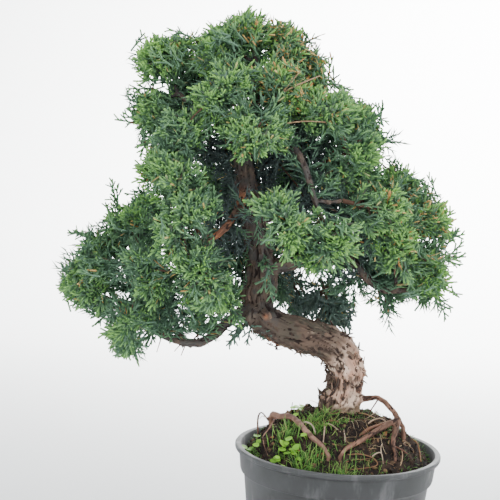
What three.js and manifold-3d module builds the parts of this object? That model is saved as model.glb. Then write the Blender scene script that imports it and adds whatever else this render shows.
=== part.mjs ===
import * as THREE from "three";
import { mergeVertices } from "three/addons/utils/BufferGeometryUtils.js";
import Module from "manifold-3d";

// A Chinese juniper bonsai in its round plastic nursery pot. Millimetres, +Z up.
// The origin is the middle of the pot's flat underside, and the front of the tree faces -Y.
// The wood is one grown piece: trunk, limbs, twigs and surface roots. The foliage is a set of
// leafy sprays, each with a slim forked stem that stands at the end of its own twig.

// Pot: the round outline, from the underside to the rim.
const POT_HEIGHT = 105;
const POT_RIM_RADIUS = 59.5;
const POT_BASE_RADIUS = 43;
const POT_WALL = 1.4;
const POT_FLOOR = 2;
const RIM_LIP_HEIGHT = 3.2;
const RIM_LIP_OVERHANG = 2.4;
const COLLAR_HEIGHT = 15;
const COLLAR_STEP = 2.4;
const COLLAR_DRAFT = 1.2;
const POT_FACETS = 32;
const DRAIN_HOLES = 6;
const DRAIN_HOLE_RADIUS = 4;
const DRAIN_RING_RADIUS = 30;

// Soil: a dome that stands above the rim round the trunk's foot.
const SOIL_EDGE_Z = 98;
const SOIL_RISE = 27;
const SOIL_DOME_CENTRE = [0, 6];
const SOIL_DOME_POWER = 2.8;
const SOIL_LUMP = 1.2;
const SOIL_RINGS = 6;
const SOIL_SECTORS = 22;

// Pieces that touch each other stand this far apart, and so do leaves of neighbouring sprays.
const SEAT_GAP = 0.3;
const LEAF_GAP = 0.45;

// Leafy sprays: a three-sided stem with forks, and cord-like branchlets. Forks and branchlets are raised
// from the facets of short whorls, at these shares of the stem's and of a fork's length.
const TWIG_RADIUS = 1.7;
const SHORTEST_TWIG = 3.5;
const STEM_BACK = 0.62;
const STEM_RADIUS = 1.5;
const FORK_RADIUS = 1.15;
const BRANCHLET_RADIUS = 0.85;
const TIP_RADIUS = 0.2;
const WHORL_HEIGHT = 1.7;
const STEM_WHORLS = [0.24, 0.42, 0.6, 0.76];
const FORK_WHORLS = [0.48];
const FORKS_PER_WHORL = 2;
const FACETS_PER_SEGMENT = 6;
const OPPOSITE = 3;
const FORK_REACH = 1.05;
const BRANCHLET_REACH = 0.62;
const BARE_STEM_SHARE = 0.5;
const MOST_TIPS = 44;

// Round leaves of the seedlings are pressed to this much less than their width.
const LEAF_FLATNESS = 0.72;

// Colours, as roughness and colour of each kind of piece.
const BARK = new THREE.MeshStandardMaterial({ color: 0x7a6152, roughness: 0.95, metalness: 0 });
const LEAF = new THREE.MeshStandardMaterial({ color: 0x3f6b3c, roughness: 0.7, metalness: 0 });
const SOIL = new THREE.MeshStandardMaterial({ color: 0x2c231d, roughness: 1, metalness: 0 });
const PLASTIC = new THREE.MeshStandardMaterial({ color: 0x5a5d60, roughness: 0.5, metalness: 0 });
const GRASS = new THREE.MeshStandardMaterial({ color: 0x5f8f2e, roughness: 0.8, metalness: 0 });

// Trunk and limbs as [x, y, z, radius] points, in the order that they grow.
const LOWER_TRUNK = [
  [1.5, 8, 100, 15],
  [1, 8, 112, 14.8],
  [-0.2, 8, 124, 12.6],
  [2, 6, 136, 10.5],
  [2.2, 4, 150, 10.4],
  [-4.5, 2, 162, 10.4],
  [-18, -2, 168.8, 9.6],
  [-32.5, -4, 172.3, 9],
  [-46, -4, 177, 8.8],
  [-55, -3, 183, 7],
];
const UPPER_TRUNK = [
  [-50, -3, 175, 8.4],
  [-51, 1, 188, 9.8],
  [-50, 4, 203, 10.2],
  [-52, 6, 216, 8.8],
  [-56, 5, 232, 7.2],
  [-61, 1, 249, 6.2],
  [-64, -4, 266, 5.4],
  [-65, -6, 281, 4.8],
  [-62, -4, 296, 4],
  [-57, 0, 310, 3.2],
  [-59, 1, 322, 2.4],
];
const LIMBS = {
  low_left: [[-48, -1, 184, 4.4], [-62, -3, 182, 3.4], [-71, -6, 171, 3.3], [-82, -8, 163, 3.1],
    [-94, -7, 163, 2.8], [-106, -2, 166, 2.5], [-120, 4, 172, 2.2], [-130, 4, 181, 1.8]],
  low_left_rise: [[-92, -7, 163, 2.4], [-101, -4, 178, 2.3], [-112, 0, 192, 2.1], [-122, 0, 206, 1.8]],
  mid_left: [[-61, 2, 250, 3.4], [-66, -14, 239, 2.7], [-72, -22, 230, 2.4], [-80, -26, 224, 2]],
  mid_front: [[-66, -12, 240, 2.3], [-58, -28, 240, 2.1], [-48, -38, 238, 1.8]],
  upper_left: [[-63, -4, 270, 3.6], [-77, -5, 286, 2.9], [-90, -5, 294, 2.4], [-102, -4, 303, 2]],
  upper_right: [[-64, -5, 286, 3.6], [-50, 0, 290, 2.9], [-34, 3, 293, 2.5], [-20, 5, 292, 2]],
  apex_right: [[-58, -1, 304, 2.9], [-49, 3, 309, 2.4], [-40, 6, 314, 2]],
  low_right: [[-46, 3, 207, 5], [-28, 4, 211, 4.2], [-12, 3, 215, 3.8], [1, 2, 214, 3.5],
    [9, 0, 206, 3.1], [18, -2, 199, 2.6], [30, -4, 199, 2.1]],
  right_rise: [[-8, 3, 215, 2.8], [6, 6, 225, 2.5], [15, 6, 238, 2.2]],
  front_right: [[-64, -4, 268, 3], [-47, -16, 280, 2.5], [-34, -26, 275, 2.2], [-28, -33, 262, 2],
    [-24, -36, 250, 1.8]],
  back_right: [[-50, 6, 206, 3.8], [-38, 22, 207, 3], [-20, 32, 209, 2.6], [0, 36, 216, 2.2]],
  back_left: [[-54, 6, 224, 3.6], [-66, 22, 222, 2.9], [-82, 32, 218, 2.4], [-98, 36, 214, 2]],
  back_upper: [[-64, -3, 262, 3.4], [-66, 18, 268, 2.8], [-72, 32, 278, 2.2]],
  back_top: [[-65, 6, 264, 2.6], [-52, 24, 276, 2.4], [-42, 32, 283, 2]],
};
// Roots that leave the foot of the trunk, arch over the soil and go down into it.
const ROOTS = [
  [[1, 7, 124, 4], [10.7, 5, 132.2, 2.3], [19.2, 0, 135.5, 1.9], [23.1, -3, 135.3, 1.8],
    [27.1, -6, 132.3, 1.8], [32.9, -10, 126.3, 2], [36.5, -10.5, 119, 1.6], [37, -11, 110, 1.4],
    [37, -11, 100, 1.3]],
  [[33, -10, 126, 1.9], [23.3, -19, 122.7, 2], [14.8, -27, 119.3, 1.9], [6.6, -34, 115.8, 1.7],
    [-0.6, -38.5, 112, 1.5], [-1.5, -40, 102, 1.3]],
  [[33, -10, 126, 1.8], [30.9, -18, 121.2, 1.9], [28.9, -24, 116, 1.6], [30.2, -29, 110.2, 1.4],
    [30.5, -30, 100, 1.2]],
];
// Bare dead twigs: three under the low left limb, one under the trunk's bend and one at the apex.
const DEAD_TWIGS = [
  [[-88, -8, 163, 1.3], [-88, -9, 158, 0.7], [-90, -10, 154, 0.5]],
  [[-92, -8, 162, 1.2], [-93, -9, 158, 0.7], [-95, -10, 155, 0.5]],
  [[-104, -3, 166, 1.2], [-105, -4, 162, 0.7], [-105, -5, 159, 0.5]],
  [[-46, -6, 172, 1.5], [-44, -11, 167, 0.8], [-38, -13, 162, 0.6]],
  [[-43, 5, 313, 1.4], [-34, -2, 329, 0.9], [-22, -1, 340, 0.6]],
];
// A loose root that lies across the left of the soil, with both ends and two rootlets in it.
const LOOSE_ROOT = [
  [[-38, 9, 103, 1.6], [-39, 7, 114, 2], [-39.4, 4, 121, 2.1], [-35, -4, 122, 2.1], [-29.2, -8, 123.4, 2.1],
    [-25.2, -13, 122.5, 2.1], [-20.5, -24, 119.8, 2], [-14.2, -33, 115.9, 1.8], [-8, -38.5, 111.8, 1.6],
    [-7.5, -40, 102, 1.4]],
  [[-36.5, -2, 121.5, 1], [-40.3, -8, 115.8, 0.9], [-44, -12, 111.4, 0.8], [-43.1, -17, 108, 0.7],
    [-40.5, -24, 103.6, 0.7], [-40, -25, 96, 0.6]],
  [[-39.2, 5, 117, 0.9], [-41.5, 3, 119, 0.8], [-44.7, 0, 120.7, 0.7], [-47, 0, 118, 0.7],
    [-46.5, 0, 109, 0.6], [-46.2, 0, 98, 0.6]],
];

// Sprays as [name, limb, x, y, z, reach]: the middle of the tuft, and how far its tips are from it.
// Each tuft is made this much fuller than that, inwards, so that its outermost tips stay where they are.
const FULLNESS = 1.2;
const SPRAYS = [
  ["apex_top", "upper_trunk", -67, -1, 337, 16],
  ["apex_left", "upper_trunk", -81, -7, 326, 17],
  ["apex_right", "apex_right", -45, 8, 332, 16],
  ["apex_right_low", "apex_right", -28, 10, 319, 18],
  ["upper_left_top", "upper_left", -112, -8, 319, 20],
  ["upper_left_out", "upper_left", -115, -2, 293, 18],
  ["upper_front", "upper_trunk", -73, -29, 303, 19],
  ["upper_middle", "upper_trunk", -48, -16, 306, 18],
  ["centre_upper", "upper_trunk", -60, -36, 280, 19],
  ["upper_left_under", "upper_left", -95, -24, 281, 19],
  ["upper_right", "upper_right", -5, 6, 294, 18],
  ["upper_right_in", "upper_right", -24, -18, 294, 18],
  ["right_middle", "upper_right", -7, -16, 272, 20],
  ["right_top", "right_rise", 24, 6, 254, 18],
  ["right_out", "right_rise", 41, 2, 236, 18],
  ["right_out_low", "low_right", 44, -3, 206, 20],
  ["right_low", "low_right", 23, -20, 222, 19],
  ["right_low_front", "front_right", 8, -32, 243, 19],
  ["centre_front_right", "front_right", -18, -50, 232, 19],
  ["centre_front_left", "mid_front", -42, -54, 237, 18],
  ["left_front_top", "mid_left", -101, -36, 253, 20],
  ["left_front", "mid_left", -90, -48, 232, 20],
  ["left_front_low", "mid_left", -80, -40, 208, 20],
  ["left_low_in", "low_left", -80, -24, 188, 18],
  ["left_top", "low_left_rise", -131, 0, 228, 18],
  ["left_out", "low_left_rise", -144, -4, 206, 18],
  ["left_out_low", "low_left", -146, 2, 187, 18],
  ["left_low", "low_left", -119, -13, 169, 19],
  ["left_under", "low_left_rise", -113, -19, 198, 19],
  ["under_right", "back_right", -11, 32, 191, 19],
  ["under_right_back", "back_right", -30, 44, 194, 18],
  ["back_apex", "upper_trunk", -70, 32, 313, 20],
  ["back_upper_left", "back_upper", -100, 36, 295, 20],
  ["back_upper_right", "back_top", -40, 40, 304, 20],
  ["back_centre", "back_upper", -66, 54, 274, 20],
  ["back_left_high", "back_left", -84, 46, 240, 20],
  ["back_right_high", "back_top", -36, 46, 262, 20],
  ["back_right", "back_right", 1, 42, 246, 20],
  ["back_middle", "back_left", -59, 54, 232, 20],
  ["back_left_out", "back_left", -116, 42, 222, 20],
  ["back_right_out", "right_rise", 29, 34, 226, 19],
  ["back_left_low", "back_left", -86, 48, 203, 18],
  ["right_under", "low_right", 24, 12, 203, 14],
  ["right_low_out", "low_right", 44, -4, 194, 15],
  ["left_between", "low_left", -110, -4, 180, 15],
];

const wasm = await Module();
wasm.setup();

// The same numbers from 0 to 1 in the same order every time, for one seed.
function seededDraw(seed) {
  let state = seed;
  return () => {
    state = (state + 0x6d2b79f5) | 0;
    let mixed = Math.imul(state ^ (state >>> 15), 1 | state);
    mixed = (mixed + Math.imul(mixed ^ (mixed >>> 7), 61 | mixed)) ^ mixed;
    return ((mixed ^ (mixed >>> 14)) >>> 0) / 4294967296;
  };
}

// A closed geometry as a solid that can be joined and cut.
function solid(geometry) {
  const bare = geometry.index ? geometry.toNonIndexed() : geometry.clone();
  for (const name of Object.keys(bare.attributes)) {
    if (name !== "position") bare.deleteAttribute(name);
  }
  const merged = mergeVertices(bare, 1e-4);
  const corners = merged.index.array;
  const kept = [];
  for (let i = 0; i < corners.length; i += 3) {
    const [a, b, c] = [corners[i], corners[i + 1], corners[i + 2]];
    if (a !== b && b !== c && c !== a) kept.push(a, b, c);
  }
  const vertProperties = merged.attributes.position.array;
  return new wasm.Manifold(new wasm.Mesh({ numProp: 3, vertProperties, triVerts: new Uint32Array(kept) }));
}

// A solid back as a geometry with flat faces.
function geometryOf(joined) {
  const { numProp, numVert, vertProperties, triVerts } = joined.getMesh();
  const position = new Float32Array(numVert * 3);
  for (let i = 0; i < numVert; i++) {
    position.set(vertProperties.subarray(i * numProp, i * numProp + 3), i * 3);
  }
  const geometry = new THREE.BufferGeometry();
  geometry.setAttribute("position", new THREE.BufferAttribute(position, 3));
  geometry.setIndex(new THREE.BufferAttribute(new Uint32Array(triVerts), 1));
  return geometry.toNonIndexed();
}

function union(solids) {
  return solids.reduce((whole, next) => whole.add(next));
}

// A direction square to the given one.
function across(direction) {
  const other = Math.abs(direction.z) < 0.9 ? new THREE.Vector3(0, 0, 1) : new THREE.Vector3(1, 0, 0);
  return other.cross(direction).normalize();
}

// A smooth line through [x, y, z, radius] points, as steps + 1 places with their radii.
function smoothLine(points, steps) {
  const curve = new THREE.CatmullRomCurve3(
    points.map(([x, y, z]) => new THREE.Vector3(x, y, z)),
    false,
    "centripetal",
  );
  const places = [];
  for (let i = 0; i <= steps; i++) {
    const share = (i / steps) * (points.length - 1);
    const before = Math.min(Math.floor(share), points.length - 2);
    const radius = THREE.MathUtils.lerp(points[before][3], points[before + 1][3], share - before);
    places.push({ at: curve.getPoint(i / steps), along: curve.getTangent(i / steps), radius });
  }
  return places;
}

// A closed round solid along a smooth line. grow makes it that much fatter all round and longer at its
// start, and relief(angle, share) scales its radius.
function limb(points, { sides = 6, steps = 6, grow = 0, relief = () => 1, spin = 0 } = {}) {
  const places = smoothLine(points, steps);
  if (grow) places[0].at.addScaledVector(places[0].along, -grow);
  const position = [];
  let normal = across(places[0].along);
  places.forEach(({ at, along, radius }, i) => {
    normal = normal.clone().addScaledVector(along, -normal.dot(along)).normalize();
    const binormal = along.clone().cross(normal);
    for (let k = 0; k < sides; k++) {
      const angle = spin + (k / sides) * 2 * Math.PI;
      const reach = (radius + grow) * relief(angle, i / steps);
      const corner = at.clone().addScaledVector(normal, reach * Math.cos(angle));
      corner.addScaledVector(binormal, reach * Math.sin(angle));
      position.push(corner.x, corner.y, corner.z);
    }
  });
  const index = [];
  for (let i = 0; i < steps; i++) {
    for (let k = 0; k < sides; k++) {
      const next = (k + 1) % sides;
      const [a, b] = [i * sides + k, i * sides + next];
      const [c, d] = [b + sides, a + sides];
      index.push(a, b, c, a, c, d);
    }
  }
  const last = steps * sides;
  for (let k = 1; k < sides - 1; k++) {
    index.push(0, k + 1, k);
    index.push(last, last + k, last + k + 1);
  }
  const geometry = new THREE.BufferGeometry();
  geometry.setAttribute("position", new THREE.Float32BufferAttribute(position, 3));
  geometry.setIndex(index);
  return solid(geometry);
}

// A surface that grows: shoots of three-cornered rings, each raised from a facet of the one before.
class Growth {
  constructor() {
    this.corners = [];
    this.faces = [];
    this.free = [];
  }
  add(point) {
    this.corners.push(point);
    return this.corners.length - 1;
  }
  // The flat foot that everything stands on.
  foot(centre, along, radius) {
    const normal = across(along);
    const binormal = along.clone().cross(normal);
    const ring = [0, 1, 2].map((k) => {
      const angle = (k / 3) * 2 * Math.PI;
      const corner = centre.clone().addScaledVector(normal, radius * Math.cos(angle));
      return this.add(corner.addScaledVector(binormal, radius * Math.sin(angle)));
    });
    this.faces.push([ring[0], ring[2], ring[1]]);
    return ring;
  }
  middle(ring) {
    const sum = new THREE.Vector3();
    for (const corner of ring) sum.add(this.corners[corner]);
    return sum.divideScalar(3);
  }
  // The direction that a facet faces.
  facing([a, b, c]) {
    const one = this.corners[b].clone().sub(this.corners[a]);
    return one.cross(this.corners[c].clone().sub(this.corners[a])).normalize();
  }
  // Raises a shoot from a ring through [place, radius] rings to a sharp tip. Its facets are free for more.
  // A ring with a third value, the direction that a leaf faces, is pressed flat.
  shoot(base, rings, tip, owner) {
    let ring = base;
    rings.forEach(([place, radius, flat], segment) => {
      const from = this.middle(ring);
      const along = place.clone().sub(from).normalize();
      const lower = ring;
      const upper = lower.map((corner, k) => {
        const out = this.corners[corner].clone().add(this.corners[lower[(k + 1) % 3]]);
        out.multiplyScalar(0.5).sub(from);
        out.addScaledVector(along, -out.dot(along)).normalize();
        if (flat) out.addScaledVector(flat, -LEAF_FLATNESS * out.dot(flat));
        return this.add(place.clone().addScaledVector(out, radius));
      });
      for (let k = 0; k < 3; k++) {
        const next = (k + 1) % 3;
        const shared = { along, owner, segment };
        this.free.push({ ring: [lower[k], lower[next], upper[k]], side: 2 * k, ...shared });
        this.free.push({ ring: [lower[next], upper[next], upper[k]], side: 2 * k + 1, ...shared });
      }
      ring = upper;
    });
    const apex = this.add(tip);
    for (let k = 0; k < 3; k++) this.faces.push([ring[k], ring[(k + 1) % 3], apex]);
  }
  take(facet) {
    this.free.splice(this.free.indexOf(facet), 1);
    return facet.ring;
  }
  solid() {
    const faces = [...this.faces, ...this.free.map(({ ring }) => ring)];
    const position = this.corners.flatMap((corner) => [...corner]);
    const geometry = new THREE.BufferGeometry();
    geometry.setAttribute("position", new THREE.Float32BufferAttribute(position, 3));
    geometry.setIndex(faces.flat());
    return solid(geometry);
  }
}

// The free space between two tapered rods, each { a, b, ra, rb }; negative where they overlap.
function gapBetween(one, two) {
  const d1 = one.b.clone().sub(one.a);
  const d2 = two.b.clone().sub(two.a);
  const r = one.a.clone().sub(two.a);
  const a = d1.lengthSq();
  const e = d2.lengthSq();
  const f = d2.dot(r);
  const c = d1.dot(r);
  const b = d1.dot(d2);
  const spread = a * e - b * b;
  const clamp = THREE.MathUtils.clamp;
  let s = spread > 1e-9 ? clamp((b * f - c * e) / spread, 0, 1) : 0;
  let t = (b * s + f) / e;
  if (t < 0 || t > 1) {
    t = clamp(t, 0, 1);
    s = clamp((b * t - c) / a, 0, 1);
  }
  const apart = r.addScaledVector(d1, s).addScaledVector(d2, -t).length();
  return apart - THREE.MathUtils.lerp(one.ra, one.rb, s) - THREE.MathUtils.lerp(two.ra, two.rb, t);
}

// Bark relief: a few long ridges that wander round the trunk.
function barkRelief(angle, share) {
  const ridge = Math.sin(3 * angle + 5 * share) + 0.7 * Math.sin(5 * angle - 9 * share);
  return 1 + 0.05 * ridge + 0.03 * Math.sin(31 * share + 2 * angle);
}

// Every rod of wood and leaf so far, for the test that nothing crosses.
const rods = [];
function rodBetween(a, b, ra, rb, owner) {
  const middle = a.clone().lerp(b, 0.5);
  return { a, b, ra, rb, owner, middle, reach: a.distanceTo(b) / 2 + Math.max(ra, rb) };
}
function addRods(owner, points, steps, allowance = 1) {
  const places = smoothLine(points, steps);
  for (let i = 0; i < steps; i++) {
    const [p, q] = [places[i], places[i + 1]];
    rods.push(rodBetween(p.at, q.at, p.radius * allowance, q.radius * allowance, owner));
  }
}
function clear(rod, gap, others) {
  return others.every((other) => {
    if (rod.middle.distanceTo(other.middle) > rod.reach + other.reach + gap) return true;
    return gapBetween(rod, other) >= gap;
  });
}

const tree = new THREE.Group();
function addPiece(name, whole, material) {
  const mesh = new THREE.Mesh(geometryOf(whole), material);
  mesh.name = name;
  tree.add(mesh);
}

// Wood: trunk, limbs, roots and dead twigs.
const LOWER_TRUNK_SHAPE = { sides: 12, steps: 18, relief: barkRelief };
const UPPER_TRUNK_SHAPE = { sides: 9, steps: 18, relief: barkRelief };
const woodSolids = [limb(LOWER_TRUNK, LOWER_TRUNK_SHAPE), limb(UPPER_TRUNK, UPPER_TRUNK_SHAPE)];
addRods("wood", LOWER_TRUNK, 18, 1.12);
addRods("wood", UPPER_TRUNK, 20, 1.12);
for (const points of Object.values(LIMBS)) {
  woodSolids.push(limb(points, { sides: 5, steps: points.length + 1 }));
  addRods("wood", points, points.length + 1);
}
const ROOT_SHAPE = { sides: 5, steps: 7 };
for (const points of ROOTS) {
  woodSolids.push(limb(points, ROOT_SHAPE));
  addRods("wood", points, ROOT_SHAPE.steps);
}
for (const points of DEAD_TWIGS) {
  woodSolids.push(limb(points, { sides: 3, steps: 2 }));
  addRods("wood", points, 2);
}

// The place on a limb that is nearest to a point, away from where the limb starts.
function nearestOn(limbName, target) {
  const points = limbName === "upper_trunk" ? UPPER_TRUNK : LIMBS[limbName];
  const places = smoothLine(points, 24).slice(6);
  let best = places[0];
  for (const place of places) {
    if (place.at.distanceTo(target) < best.at.distanceTo(target)) best = place;
  }
  return best;
}

// Each spray's twig and stem. The twig bends up into the line that the stem grows along.
const UP = new THREE.Vector3(0, 0, 1);
const TWIG_SHAPE = { sides: 3, steps: 2 };
const FIRST_SPRAY_SEED = 700;
const sprays = SPRAYS.map(([name, limbName, x, y, z, outlineReach], number) => {
  const reach = FULLNESS * outlineReach;
  const middle = new THREE.Vector3(x, y, z);
  const joint = nearestOn(limbName, middle);
  const growth = middle.clone().sub(joint.at).normalize().addScaledVector(UP, 0.25).normalize();
  middle.addScaledVector(growth, outlineReach - reach);
  // The stem's foot is on the near side of the tuft, and never closer to the limb than a short twig.
  const twigLength = Math.max(joint.radius + SHORTEST_TWIG, joint.at.distanceTo(middle) - STEM_BACK * reach);
  const end = joint.at.clone().addScaledVector(growth, twigLength);
  const bend = joint.at.clone().lerp(end, 0.55).addScaledVector(UP, -0.06 * joint.at.distanceTo(end));
  const twig = [
    [...joint.at, Math.min(TWIG_RADIUS + 0.5, joint.radius)],
    [...bend, TWIG_RADIUS],
    [...end, TWIG_RADIUS],
  ];
  const draw = seededDraw(FIRST_SPRAY_SEED + number);
  return { name: "spray_" + name, number, middle, reach, growth, twig, draw, fits: () => true };
});
for (const { name, twig } of sprays) {
  woodSolids.push(limb(twig, TWIG_SHAPE));
  addRods(name + " twig", twig, TWIG_SHAPE.steps);
}
addPiece("trunk_and_limbs", union(woodSolids), BARK);

// The free space to other pieces and, less the crowded start of a rod, to the same spray's other rods:
// its siblings grow from the same fork, and its cousins from another.
const SIBLINGS = { crowded: 0.3, gap: 0.2 };
const COUSINS = { crowded: 0.15, gap: 0.25 };
function standsClear(rod, spray, fork) {
  const foreign = rods.filter(({ owner }) => owner !== spray.name && owner !== spray.name + " twig");
  if (!clear(rod, LEAF_GAP, foreign)) return false;
  const outer = (r, from) => {
    const start = r.a.clone().lerp(r.b, from);
    return rodBetween(start, r.b, THREE.MathUtils.lerp(r.ra, r.rb, from), r.rb);
  };
  const own = spray.rods.filter((other) => other !== fork && other !== rod);
  const siblings = own.filter((other) => other.fork === fork).map((other) => outer(other, SIBLINGS.crowded));
  const cousins = own.filter((other) => other.fork !== fork);
  if (!clear(outer(rod, SIBLINGS.crowded), SIBLINGS.gap, siblings)) return false;
  return clear(outer(rod, COUSINS.crowded), COUSINS.gap, cousins);
}

// The rings of a tapered shoot with a whorl, which is two rings close together, at each share of its length.
function ringsOf(from, direction, length, radius, shares) {
  return shares.flatMap((share) =>
    [-0.5, 0.5].map((side) => {
      const along = share * length + side * WHORL_HEIGHT;
      return [from.clone().addScaledVector(direction, along), radius * (1 - 0.5 * share)];
    }),
  );
}

// Tries to raise a fork or a branchlet from a facet, in a few directions and lengths.
const SPRAY_LEANS = [56, 44, 68, 32, 80];
const SHORTER = [1, 0.85, 0.7];
const SHORTEST_SHOOT = 0.3;
const SHARES_TESTED = [0.25, 0.5, 1];
function raise(spray, facet, longest, radius, whorls, leans = SPRAY_LEANS) {
  const from = spray.surface.middle(facet.ring);
  const facing = spray.surface.facing(facet.ring);
  const inward = from.clone().sub(spray.middle);
  for (const shorter of SHORTER) {
    for (const lean of leans) {
      const angle = THREE.MathUtils.degToRad(lean + 10 * (spray.draw() - 0.5));
      const direction = facing.clone().multiplyScalar(Math.sin(angle));
      direction.addScaledVector(facet.along, Math.cos(angle)).addScaledVector(UP, 0.1).normalize();
      // The tip stays on or inside the spray's ball.
      const back = inward.dot(direction);
      const toBall = Math.sqrt(Math.max(0, back ** 2 - inward.lengthSq() + spray.reach ** 2)) - back;
      const length = Math.min(longest, toBall) * shorter;
      if (length < SHORTEST_SHOOT * spray.reach) continue;
      const tip = from.clone().addScaledVector(direction, length);
      const rod = rodBetween(from, tip, radius, TIP_RADIUS, spray.name);
      rod.fork = facet.owner;
      if (!standsClear(rod, spray, facet.owner)) continue;
      if (!SHARES_TESTED.every((share) => spray.fits(from.clone().lerp(tip, share)))) continue;
      const rings = ringsOf(from, direction, length, radius, whorls);
      spray.surface.shoot(spray.surface.take(facet), rings, tip, rod);
      rods.push(rod);
      spray.rods.push(rod);
      return true;
    }
  }
  return false;
}

for (const spray of sprays) {
  const seat = smoothLine(spray.twig, TWIG_SHAPE.steps).at(-1);
  const foot = seat.at.clone().addScaledVector(seat.along, SEAT_GAP);
  const tip = spray.middle.clone().addScaledVector(spray.growth, spray.reach);
  const direction = tip.clone().sub(foot).normalize();
  spray.stem = rodBetween(foot, tip, STEM_RADIUS, TIP_RADIUS, spray.name);
  spray.rods = [spray.stem];
  spray.surface = new Growth();
  const rings = ringsOf(foot, direction, foot.distanceTo(tip), STEM_RADIUS, STEM_WHORLS);
  spray.surface.shoot(spray.surface.foot(foot, seat.along, STEM_RADIUS), rings, tip, spray.stem);
  rods.push(spray.stem);
}
// A whorl is every other segment of its shoot. The forks of a whorl stand on opposite sides of it, and each
// whorl is turned from the one below.
const onWhorl = ({ segment }) => segment % 2 === 1;
for (let i = 0; i < FORKS_PER_WHORL * STEM_WHORLS.length; i++) {
  const segment = 2 * Math.floor(i / FORKS_PER_WHORL) + 1;
  for (const spray of sprays) {
    const facets = spray.surface.free.filter((f) => f.owner === spray.stem && f.segment === segment);
    const first = 2 * segment + OPPOSITE * (i % FORKS_PER_WHORL) + spray.number;
    const turn = ({ side }) => (side + 20 * FACETS_PER_SEGMENT - first) % FACETS_PER_SEGMENT;
    facets.sort((a, b) => turn(a) - turn(b));
    const tried = facets.slice(0, OPPOSITE);
    tried.some((facet) => raise(spray, facet, FORK_REACH * spray.reach, FORK_RADIUS, FORK_WHORLS));
  }
}
for (let side = 0; side < FACETS_PER_SEGMENT; side++) {
  for (const spray of sprays) {
    for (const owner of [...spray.rods]) {
      const facets = spray.surface.free.filter((f) => f.owner === owner && onWhorl(f) && f.side === side);
      for (const facet of facets) {
        if (spray.rods.length >= MOST_TIPS) continue;
        if (owner === spray.stem && spray.draw() < BARE_STEM_SHARE) continue;
        raise(spray, facet, BRANCHLET_REACH * spray.reach, BRANCHLET_RADIUS, []);
      }
    }
  }
}
for (const spray of sprays) addPiece(spray.name, spray.surface.solid(), LEAF);

// Pot: a thin shell with a stepped collar, a rolled lip and drain holes in its floor.
const COLLAR_TOP_RADIUS = POT_RIM_RADIUS - RIM_LIP_OVERHANG;
const COLLAR_FOOT_RADIUS = COLLAR_TOP_RADIUS - COLLAR_DRAFT;
const WALL_TOP_RADIUS = COLLAR_FOOT_RADIUS - COLLAR_STEP;
const INNER_RIM_RADIUS = COLLAR_FOOT_RADIUS - POT_WALL;
const COLLAR_FOOT_Z = POT_HEIGHT - COLLAR_HEIGHT;
const WALL_TOP_Z = COLLAR_FOOT_Z - COLLAR_STEP;

// The inner radius of the pot's wall below the collar, at a height.
function innerRadius(z) {
  const share = (z - POT_FLOOR) / (WALL_TOP_Z - POT_FLOOR);
  return THREE.MathUtils.lerp(POT_BASE_RADIUS, WALL_TOP_RADIUS, share) - POT_WALL;
}

function potSolid() {
  const outline = [
    [0, 0],
    [POT_BASE_RADIUS - 1, 0],
    [POT_BASE_RADIUS, 1.2],
    [WALL_TOP_RADIUS, WALL_TOP_Z],
    [COLLAR_FOOT_RADIUS, COLLAR_FOOT_Z],
    [COLLAR_TOP_RADIUS, POT_HEIGHT - RIM_LIP_HEIGHT],
    [POT_RIM_RADIUS, POT_HEIGHT - RIM_LIP_HEIGHT + 0.6],
    [POT_RIM_RADIUS, POT_HEIGHT - 0.8],
    [POT_RIM_RADIUS - 0.8, POT_HEIGHT],
    [COLLAR_TOP_RADIUS - POT_WALL, POT_HEIGHT],
    [COLLAR_FOOT_RADIUS - POT_WALL, COLLAR_FOOT_Z + 0.5],
    [WALL_TOP_RADIUS - POT_WALL, WALL_TOP_Z],
    [POT_BASE_RADIUS - POT_WALL, POT_FLOOR],
    [0, POT_FLOOR],
  ];
  const turned = new THREE.LatheGeometry(outline.map(([r, z]) => new THREE.Vector2(r, z)), POT_FACETS);
  turned.rotateX(Math.PI / 2);
  let pot = solid(turned);
  if (pot.volume() < 0) throw new Error("the pot's outline runs the wrong way round");
  for (let i = 0; i < DRAIN_HOLES; i++) {
    const hole = new THREE.CylinderGeometry(DRAIN_HOLE_RADIUS, DRAIN_HOLE_RADIUS, 4 * POT_FLOOR, 10);
    hole.rotateX(Math.PI / 2);
    const angle = (i / DRAIN_HOLES) * 2 * Math.PI;
    hole.translate(DRAIN_RING_RADIUS * Math.cos(angle), DRAIN_RING_RADIUS * Math.sin(angle), 0);
    pot = pot.subtract(solid(hole));
  }
  return pot;
}
addPiece("pot", potSolid(), PLASTIC);

// The soil's height at a place: a dome with low lumps.
function soilHeight(x, y) {
  const edge = INNER_RIM_RADIUS - SEAT_GAP;
  const middle = Math.hypot(x - SOIL_DOME_CENTRE[0], y - SOIL_DOME_CENTRE[1]);
  const outward = Math.min(1, Math.max(middle, Math.hypot(x, y)) / edge);
  const dome = SOIL_RISE * (1 - outward ** SOIL_DOME_POWER);
  const lumps = Math.sin(0.31 * x + 1.3) * Math.cos(0.27 * y) + Math.sin(0.19 * x - 0.35 * y);
  return SOIL_EDGE_Z + dome + SOIL_LUMP * lumps * (1 - outward ** 4);
}

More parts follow.
